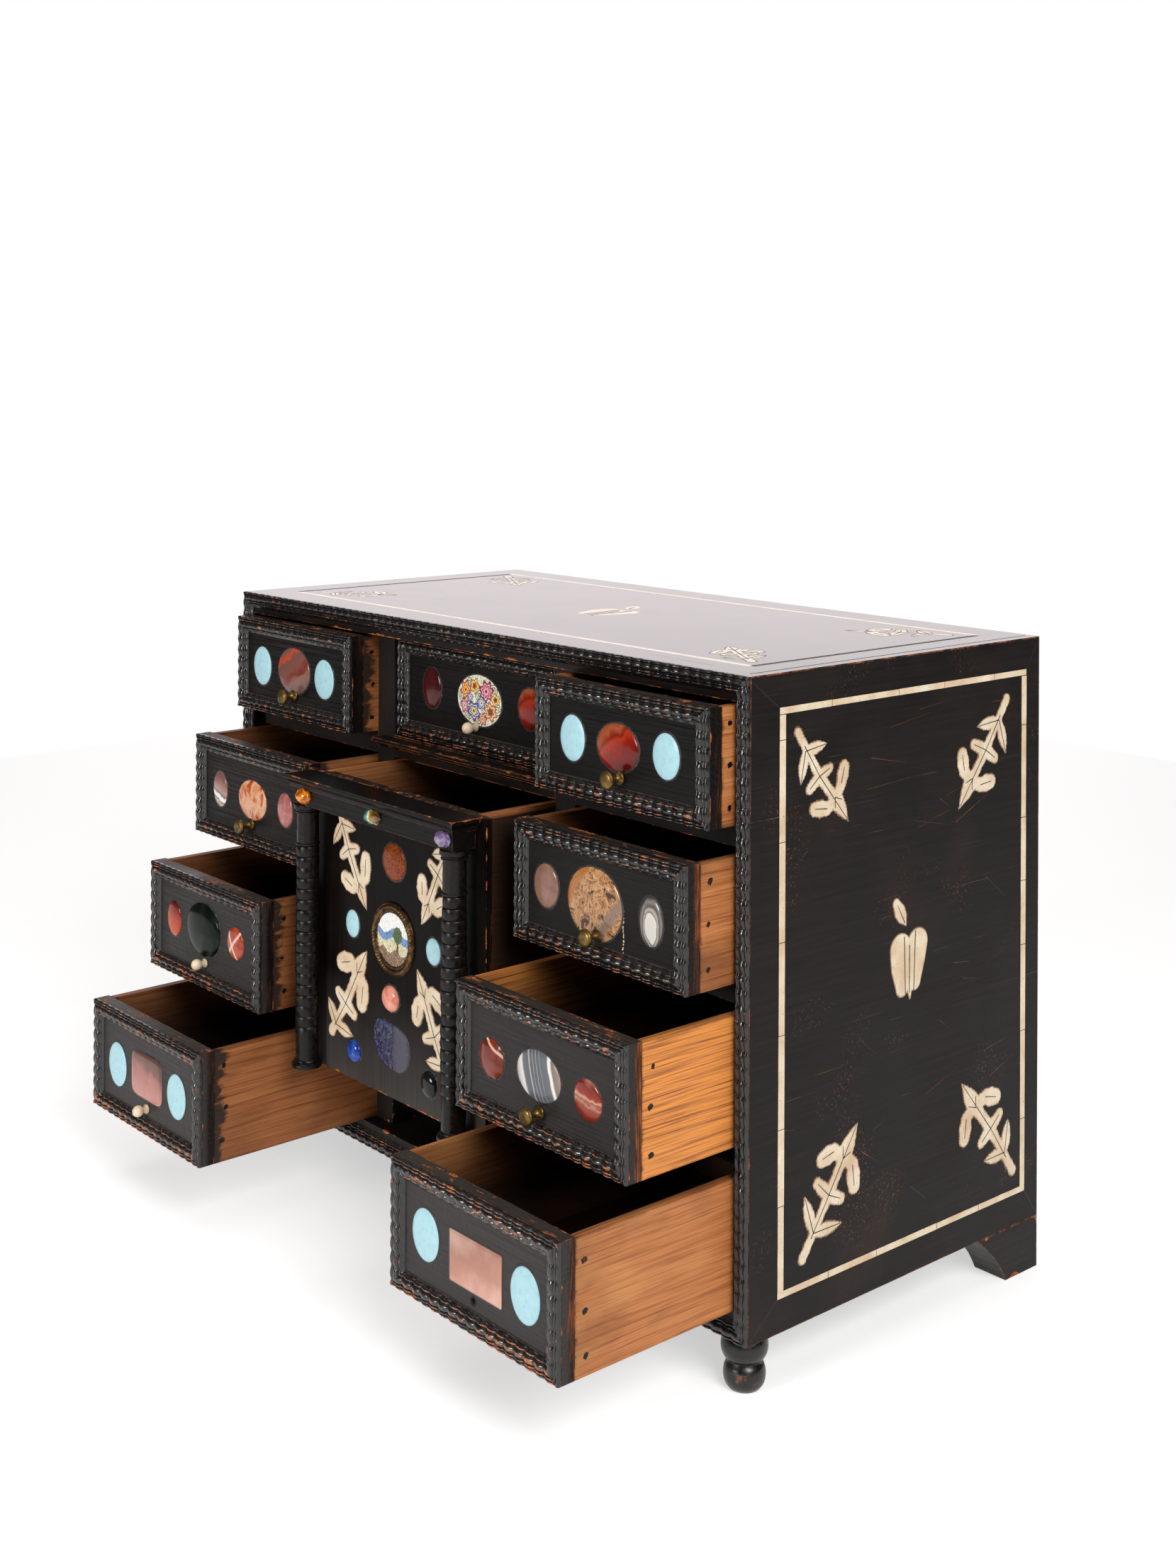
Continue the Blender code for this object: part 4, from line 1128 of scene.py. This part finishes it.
a, b, width, height = ENAMEL_OVAL
panel = panel_of("centre_drawer")
shape = Shape()
layers = [outline(panel, a, b, width, height, SINK, OVAL_SIDES)]
shape.tints = [enamel_colour(0.0, 0.0)] * OVAL_SIDES
for step in range(OVAL_RINGS + 1):
    share = 1 - step / (OVAL_RINGS + 0.4)
    d = 0.25 + OVAL_RISE * (1 - share ** 2)
    layers.append(outline(panel, a, b, width * share, height * share, d, OVAL_SIDES))
    for k in range(OVAL_SIDES):
        x, z = oval(FULL_TURN * k / OVAL_SIDES)
        shape.tints.append(enamel_colour(width / 2 * share * x, height / 2 * share * z))
stack(shape, layers)
shape.piece("centre_drawer_enamel", painted("painted_enamel", 0.14), "centre_drawer", "hardstone", sharp=50)


# Tabernacle: stones, medallion, sprays, columns

TABERNACLE = "tabernacle"
board = front_of("tabernacle_front")
BOARD_STONES = (
    ("goldstone", 4.0, 168.6, 27.8, 26.2, "dome"), ("coral", 1.0, 70.6, 20.0, 18.5, "high"),
    ("turquoise", -47.9, 113.7, 16.7, 20.0, "dome"), ("turquoise", 51.8, 115.6, 16.6, 18.8, "dome"),
    ("blue_glass", -44.5, 21.2, 16.0, 16.0, "high"), ("onyx", 47.7, 22.2, 17.6, 18.6, "high"))
settings = Shape()
set_stones(TABERNACLE, board, BOARD_STONES, settings, random.Random(7))

LAPIS = (2.5, 37.5)
LAPIS_SHAPE = (
    (21.5, -9.0), (21.0, 6.0), (12.5, 14.0), (-6.0, 16.0), (-20.5, 15.5), (-22.5, 4.0), (-21.0, -8.0),
    (-13.0, -14.0), (0.0, -17.0), (11.0, -17.5))
# Share of the plaque's outline and distance from the board, for the stone and for the wax round it
LAPIS_LAYERS = ((1.0, SINK), (1.0, 0.4), (0.97, 0.9), (0.9, 1.05), (0.3, 1.1))
LAPIS_WAX = ((0.98, -0.3), (1.05, -0.3), (1.03, 0.2), (0.99, 0.4))
LAPIS_CRACK = ((1.5, 15.0), (2.6, 5.0), (0.6, -5.0), (1.8, -16.5))
CORNER_STEPS = 6


def rounded(corners):
    """Closed smooth line through the middles of a polygon's sides, bending near its corners."""
    points = []
    for k, corner in enumerate(corners):
        before, after = corners[k - 1], corners[(k + 1) % len(corners)]
        for step in range(CORNER_STEPS):
            t = (step + 0.5) / CORNER_STEPS
            points.append([(p + q) / 2 * (1 - t) ** 2 + 2 * q * t * (1 - t) + (q + r) / 2 * t ** 2
                           for p, q, r in zip(before, corner, after)])
    return points


def lapis_point(x, z, share, d):
    return board.at(LAPIS[0] + x * share, LAPIS[1] + z * share, d)


shape = Shape()
plaque = rounded(LAPIS_SHAPE)
stack(shape, [[lapis_point(x, z, share, d) for x, z in plaque] for share, d in LAPIS_LAYERS])
look = stone("tabernacle_lapis", centre=board.at(*LAPIS), **STONES["lapis"])
shape.piece("tabernacle_lapis", look, TABERNACLE, "hardstone", sharp=30)
lapis_face = board.turned(*LAPIS, 0.0)
for start, end in zip(LAPIS_CRACK, LAPIS_CRACK[1:]):
    bar(settings, lapis_face, start, end, 0.7, 1.2)
loop_tube(settings, [[lapis_point(x, z, share, d) for share, d in LAPIS_WAX] for x, z in plaque])
settings.piece("tabernacle_settings", WAX, TABERNACLE, "ebonised_wood", sharp=40)

FRIEZE_MIDDLE = 204.0
CORNICE_LAP = 5.4
# Kind, place, width, height, rise, and facets with the table's share where the gem is cut
FRIEZE_GEMS = (("amber", -84.0, 16.4, 12.4, 6.0, None), ("green_glass", 5.0, 20.0, 12.0, 6.0, (6, 0.34)),
               ("amethyst", 88.5, 16.0, 12.6, 5.6, (9, 0.42)))
frieze = front_of("tabernacle_front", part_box("tabernacle_cornice")[0].y + CORNICE_LAP * MM)
for kind, a, width, height, rise, cut in FRIEZE_GEMS:
    shape = Shape()
    if cut:
        faceted(shape, frieze, a, FRIEZE_MIDDLE, width, height, rise, *cut)
    else:
        cabochon(shape, frieze, a, FRIEZE_MIDDLE, width, height, rise)
    look = stone(f"frieze_{kind}", centre=frieze.at(a, FRIEZE_MIDDLE), **STONES[kind])
    shape.piece(f"frieze_{kind}", look, TABERNACLE, "hardstone", sharp=10 if cut else 50)

MEDAL = (3.5, 113.5)
MEDAL_SIZE = (52.0, 53.0)
MEDAL_PICTURE = 38.0
BEZEL_STEPS = 240
BEZEL_TWISTS = 60
# Share of the way in, distance out and share of rope twist across the bezel
BEZEL = (
    (0.0, -0.4, 0.0), (0.0, 0.8, 0.0), (0.1, 1.5, 0.0), (0.2, 1.2, 0.0), (0.3, 1.9, 0.5), (0.45, 2.6, 1.0),
    (0.6, 1.9, 0.5), (0.7, 1.2, 0.0), (0.85, 1.6, 0.0), (1.0, 1.0, 0.0), (1.0, -0.4, 0.0))
columns = []
for k in range(BEZEL_STEPS):
    angle = FULL_TURN * k / BEZEL_STEPS
    x, z = oval(angle)
    column = []
    for share, d, rope in BEZEL:
        wide, high = ((size + (MEDAL_PICTURE - size) * share) / 2 for size in MEDAL_SIZE)
        twist = rope * 0.45 * math.cos(BEZEL_TWISTS * angle + share * 9)
        column.append(board.at(MEDAL[0] + x * wide, MEDAL[1] + z * high, d + twist))
    columns.append(column)
shape = Shape()
loop_tube(shape, columns, [0.4 + rope * 0.6 for _, _, rope in BEZEL] * BEZEL_STEPS)
shape.piece("medallion_bezel", DARK_BRASS, TABERNACLE, "brass", sharp=50)


def mosaic_codes(u, v):
    """Glass colours of a plain landscape: pale sky, far blue hills, a meadow and one round tree."""
    hill = 1.5 + 2.5 * math.sin(u * 0.25 + 0.8)
    if math.hypot((u - 6.0) / 5.5, (v - 4.0) / 6.0) < 1:
        return "4c6138", "5d7343", "3d4f30"
    if abs(u - 6.0) < 1.1 and -9 < v <= 0:
        return "5a3524", "6e4430"
    if v > hill + 4.5:
        return "efece6", "e6e2dc", "f4f1ea", "dfe4e8"
    if v > hill - 1.5:
        return "6f8fc0", "87a3cc", "5a78ac"
    if v > -8.5 + 2 * math.sin(u * 0.4):
        return "d8cfae", "c6bd94", "b9b37f", "e4ddc6"
    return "7b5a45", "93705a", "a48a72", "6d4e3d"


TILE = 0.8
SQUARE = ((-1, -1), (1, -1), (1, 1), (-1, 1))
shape = Shape()
rng = random.Random(31)
rows = int(MEDAL_PICTURE / TILE)
for j in range(rows):
    v = -MEDAL_PICTURE / 2 + (j + 0.5) * TILE
    for i in range(rows):
        u = -MEDAL_PICTURE / 2 + (i + 0.5 + 0.35 * math.sin(j * 2.1)) * TILE
        if math.hypot(u, v) > 0.99 * MEDAL_PICTURE / 2:
            continue
        height = 0.9 + rng.uniform(-0.06, 0.06)
        tile = board.turned(MEDAL[0] + u, MEDAL[1] + v, rng.uniform(-0.12, 0.12))
        stack(shape, [[tile.at(x * TILE / 2 * f, y * TILE / 2 * f, d) for x, y in SQUARE]
                      for f, d in ((0.94, -0.3), (0.94, height - 0.15), (0.8, height))])
        shape.tints += [rgb(rng.choice(mosaic_codes(u, v)))] * 12
shape.piece("medallion_mosaic", painted("mosaic_glass", 0.2), TABERNACLE, "hardstone")
shape = Shape()
cabochon(shape, board, *MEDAL, MEDAL_PICTURE + 1, MEDAL_PICTURE + 1, 0.35)
shape.piece("medallion_ground", GROUT, TABERNACLE, "hardstone", sharp=50)

# Stem and tip of each spray
BOARD_SPRAYS = (((-66, 193), (-30.5, 127)), ((70, 193), (37, 131)),
                ((-76, 27), (-29.5, 98)), ((68, 31), (32, 99.6)))
rng = random.Random(21)
plates, lines = Shape(), Shape()
for stem, tip in BOARD_SPRAYS:
    add_spray(plates, lines, board, stem, tip, BOARD_LOBES, rng)
plates.piece("tabernacle_sprays", INLAY_BONE, TABERNACLE, "bone", sharp=40)
lines.piece("tabernacle_spray_lines", WAX, TABERNACLE, "ebonised_wood")

COLUMN_BASE = (
    (9.8, 0.0), (11.2, 0.8), (11.5, 2.0), (11.2, 3.2), (10.0, 4.2), (9.2, 4.6), (9.5, 5.4), (9.2, 6.2),
    (8.4, 6.8), (8.4, 12.0), (8.6, 24.0), (8.6, 30.0))
# Heights here are below the column's top
COLUMN_CAP = (
    (7.0, 31.0), (9.0, 30.4), (9.1, 29.2), (8.2, 28.4), (8.1, 11.0), (8.1, 7.0), (9.3, 6.6), (9.5, 5.6),
    (8.8, 5.0), (9.0, 4.2), (10.3, 3.2), (10.5, 2.0), (10.3, 0.0))
RING_START, RING_PITCH = 31.0, 8.0
SWOLLEN = 9.15      # wider parts than this are worn


def column_profile(length, rng):
    """Radius and height of each ring of a column, thickest in its middle, from the bottom up."""
    points = list(COLUMN_BASE)
    count = round((length - 2 * RING_START) / RING_PITCH)
    pitch = (length - 2 * RING_START) / count
    for ring in range(count):
        low = RING_START + ring * pitch
        swell = 8.0 + math.sin(math.pi * (0.25 + 0.7 * ring / count)) + rng.uniform(-0.25, 0.35)
        high = low + pitch
        points += [(swell - 0.65, low), (swell - 0.2, low + 0.4), (swell, low + 1.2),
                   (swell + 0.1, low + pitch * 0.5), (swell - 0.1, high - 1.0), (swell - 0.35, high - 0.35)]
    return points + [(radius, length - below) for radius, below in COLUMN_CAP]


def turn_node(name, node, profile, marks, material, body, sides, sharp):
    """A turned piece standing in a node's place."""
    low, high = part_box(node)
    axis = Face(((low.x + high.x) / 2, (low.y + high.y) / 2, low.z), up=(0, 1, 0))
    shape = Shape()
    turned(shape, axis, profile, sides, marks)
    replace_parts(shape.piece(name, material, body, "ebonised_wood", sharp), node)


for side in ("left", "right"):
    node = f"tabernacle_{side}_column"
    profile = column_profile(span(node)[2], random.Random(len(side)))
    marks = [0.5 if radius > SWOLLEN else 0.0 for radius, _ in profile]
    turn_node(f"{side}_ringed_column", node, profile, marks, COLUMN_BLACK, TABERNACLE, sides=40, sharp=35)


# Feet

BALL_STEPS = 10


def ball(bottom, top, radius, ends):
    shares = [step / BALL_STEPS for step in range(BALL_STEPS + 1)]
    return [(ends + (radius - ends) * math.sin(math.pi * share) ** 0.6, bottom + (top - bottom) * share)
            for share in shares]


FOOT = [(8.2, 0.0), (10.2, 0.5)] + ball(1.2, 17.4, 13.6, 10.6)[1:] + ball(17.9, 36.2, 15.2, 10.6)
FOOT_MARKS = [0.45 if radius > 13 else 0.35 for radius, _ in FOOT]
for side in ("left", "right"):
    turn_node(f"front_{side}_turned_foot", f"front_{side}_foot", FOOT, FOOT_MARKS, FOOT_BLACK, "case",
              sides=48, sharp=50)


# Bone lines, sprays and fruit on the sides and top

case_low, case_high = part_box("case_right_side")
FRONT_Y = case_low.y
CASE_X = case_high.x
CASE_BOTTOM = case_low.z
CASE_DEPTH = (case_high.y - FRONT_Y) / MM
SIDE_FACES = (("right_side", Face((CASE_X, FRONT_Y, CASE_BOTTOM), (0, 1, 0)), 1),
              ("left_side", Face((-CASE_X, FRONT_Y, CASE_BOTTOM), (0, -1, 0)), -1))
SIDE_FRAME = (26.0, 280.0, 21.5, 393.0)         # front, back, bottom and top of the bone frame
SIDE_CORNERS = (2.0, CASE_DEPTH - 2.0, 3.0, 411.0)
UPRIGHT_WIDTH, LEVEL_WIDTH = 5.6, 4.2
MITRE_LINE = 0.5
SIDE_SPRAYS = (((41.6, 377.2), (90.9, 312.1)), ((257.9, 375.4), (203.9, 303.6)),
               ((47.8, 39.1), (101.3, 114.9)), ((267.0, 38.0), (208.3, 114.6)))
SIDE_FRUIT = (152.0, 208.0)
for (name, face, mirror), seed in zip(SIDE_FACES, (41, 43)):
    rng = random.Random(seed)
    strips, plates, lines = Shape(), Shape(), Shape()
    front, back, bottom, top = SIDE_FRAME
    for x in (front + UPRIGHT_WIDTH / 2, back - UPRIGHT_WIDTH / 2):
        stringing(strips, face, (mirror * x, bottom + LEVEL_WIDTH), (mirror * x, top - LEVEL_WIDTH),
                  UPRIGHT_WIDTH, rng)
    for z in (bottom + LEVEL_WIDTH / 2, top - LEVEL_WIDTH / 2):
        stringing(strips, face, (mirror * front, z), (mirror * back, z), LEVEL_WIDTH, rng)
    for stem, tip in SIDE_SPRAYS:
        add_spray(plates, lines, face, (mirror * stem[0], stem[1]), (mirror * tip[0], tip[1]),
                  SIDE_LOBES, rng)
    add_fruit(plates, lines, face, (mirror * SIDE_FRUIT[0], SIDE_FRUIT[1]))
    for z in (3, 2):
        for x in (0, 1):
            bar(lines, face, (mirror * SIDE_CORNERS[x], SIDE_CORNERS[z]),
                (mirror * SIDE_FRAME[x], SIDE_FRAME[z]), MITRE_LINE, 0.04)
    strips.piece(name + "_stringing", INLAY_BONE, "case", "bone")
    plates.piece(name + "_inlay", INLAY_BONE, "case", "bone", sharp=40)
    lines.piece(name + "_engraving", WAX, "case", "ebonised_wood")

SCRATCHES = 34
SCRATCH_LEANS = (-38, -8, 4, 8, 12, 18)
SCRATCH_LIMITS = (292.0, 3.0, 410.0)            # furthest back, lowest and highest end
back, bottom, top = SCRATCH_LIMITS
for (name, face, mirror), seed in zip(SIDE_FACES, (61, 63)):
    rng = random.Random(seed)
    shape = Shape()
    for _ in range(SCRATCHES):
        lean = math.radians(rng.choice(SCRATCH_LEANS) + rng.uniform(-5, 5))
        a, b = rng.uniform(20, 250), rng.uniform(20, 385)
        length = rng.uniform(8, 46)
        end_a, end_b = a + length * math.cos(lean), b + length * math.sin(lean)
        if end_a < back and bottom < end_b < top:
            bar(shape, face, (mirror * a, b), (mirror * end_a, end_b), rng.uniform(0.12, 0.4), 0.03, 0.08)
    shape.piece(name + "_scratches", RUST, "case", "ebonised_wood")

TOP_PROUD = 0.06
TOP_RIM = 0.6
TOP_FRAME = (269.0, 32.0, 263.0)                # half width, front and back of the top's frame
TOP_SPRAYS = (((256, 46), (196, 84)), ((-256, 46), (-196, 84)),
              ((256, 249), (190, 209)), ((-256, 249), (-190, 209)))
TOP_FRUIT = (2.0, 143.0)
TOP_JOINT = ((291.0, 8.0), (291.0, 290.0))      # joint line along the right edge
TOP_STRIP, TOP_LINE, LINE_HEIGHT = 5.4, 3.6, 0.12
top_face = Face((0, FRONT_Y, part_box("case_top")[1].z), up=(0, 1, 0))
half, front, back = TOP_FRAME
rng = random.Random(51)
strips, plates, lines = Shape(), Shape(), Shape()
for y in (front, back):
    stringing(strips, top_face, (-half, y), (half, y), TOP_STRIP, rng, TOP_PROUD)
for stem, tip in TOP_SPRAYS:
    add_spray(plates, lines, top_face, stem, tip, SIDE_LOBES, rng, TOP_PROUD, TOP_RIM)
add_fruit(plates, lines, top_face, TOP_FRUIT, TOP_PROUD)
for x in (-half, half):
    bar(lines, top_face, (x, front + 1), (x, back - 1), TOP_LINE, LINE_HEIGHT)
bar(lines, top_face, *TOP_JOINT, MITRE_LINE, LINE_HEIGHT)
strips.piece("top_stringing", TOP_BONE, "case", "bone")
plates.piece("top_inlay", TOP_BONE, "case", "bone", sharp=40)
lines.piece("top_engraving", WAX, "case", "ebonised_wood")


# Floor, light and camera

FLOOR_REACH = 1.9
FLOOR_GLOW = 0.52
AMBIENT = 0.08
WHITE = (1.0, 1.0, 1.0, 1.0)


def pale_floor():
    """A softly glowing white table, so shadows on it stay light."""
    paint = Paint("pale_floor")
    mottle = paint.noise(paint.place(), 3.0, 4.0)
    return paint.finish(paint.ramp(mottle, "30 d6d5d4 70 dbdad9"), mottle.step(0.3, 0.7, 0.6, 0.75),
                        Specular_IOR_Level=0.1, Emission_Color=WHITE, Emission_Strength=FLOOR_GLOW)


mesh = bpy.data.meshes.new("floor")
mesh.from_pydata([(x * FLOOR_REACH, y * FLOOR_REACH, 0) for x, y in SQUARE], [], [(0, 1, 2, 3)])
mesh.materials.append(pale_floor())
floor = put_in_scene("floor", mesh)

world = bpy.data.worlds.new("studio")
world.use_nodes = True
bpy.context.scene.world = world
sky = world.node_tree.nodes["Background"]
sky.inputs["Color"].default_value = WHITE
seen = world.node_tree.nodes.new("ShaderNodeLightPath").outputs["Is Camera Ray"]
level = world.node_tree.nodes.new("ShaderNodeMapRange")
level.inputs["To Min"].default_value = AMBIENT
level.inputs["To Max"].default_value = 1.0
world.node_tree.links.new(seen, level.inputs["Value"])
world.node_tree.links.new(level.outputs["Result"], sky.inputs["Strength"])

# Place, target, size, power and colour
SOFTBOXES = {
    "overhead": ((0.0, 0.0, 2.3), (0.0, 0.0, 0.0), (2.4, 2.4), 20.0, (1.0, 1.0, 1.0)),
    "backdrop": ((-2.3, 2.0, 0.9), (0.0, 0.0, 0.4), (3.2, 1.6), 26.0, (1.0, 0.92, 0.93)),
    "right_key": ((2.4, -0.7, 1.8), (0.0, 0.0, 0.2), (1.5, 1.3), 68.0, (1.0, 1.0, 1.0)),
    "front_fill": ((-0.1, -2.7, 0.8), (0.0, 0.0, 0.25), (0.8, 0.6), 45.0, (1.0, 1.0, 1.0)),
}
for name, (place, target, size, power, colour) in SOFTBOXES.items():
    light = bpy.data.lights.new(name, "AREA")
    light.shape = "RECTANGLE"
    light.size, light.size_y = size
    light.energy = power
    light.color = colour
    lamp = put_in_scene(name, light)
    lamp.location = place
    lamp.rotation_euler = (Vector(target) - Vector(place)).to_track_quat("-Z", "Y").to_euler()
    lamp.visible_camera = False

# Camera fitted to the photograph: a level view with its frame shifted down
YAW = math.radians(49.173)
ROLL = math.radians(-0.266)
IMAGE_HEIGHT = 2212
FOCAL_PIXELS = 2736.1
HORIZON_PIXEL = 525.35
SENSOR = 36.0
CAMERA_PLACE = (1.1408, -0.8610, 0.6028)        # from the case's lower front edge
camera_data = bpy.data.cameras.new("photo_camera")
camera_data.sensor_width = SENSOR
camera_data.lens = FOCAL_PIXELS / IMAGE_HEIGHT * SENSOR
camera_data.shift_y = (HORIZON_PIXEL - IMAGE_HEIGHT / 2) / IMAGE_HEIGHT
camera = put_in_scene("photo_camera", camera_data)
camera.location = Vector((0.0, FRONT_Y, CASE_BOTTOM)) + Vector(CAMERA_PLACE)
camera.rotation_euler = (math.pi / 2, ROLL, YAW)
bpy.context.scene.camera = camera
bpy.context.scene.view_settings.view_transform = "Standard"
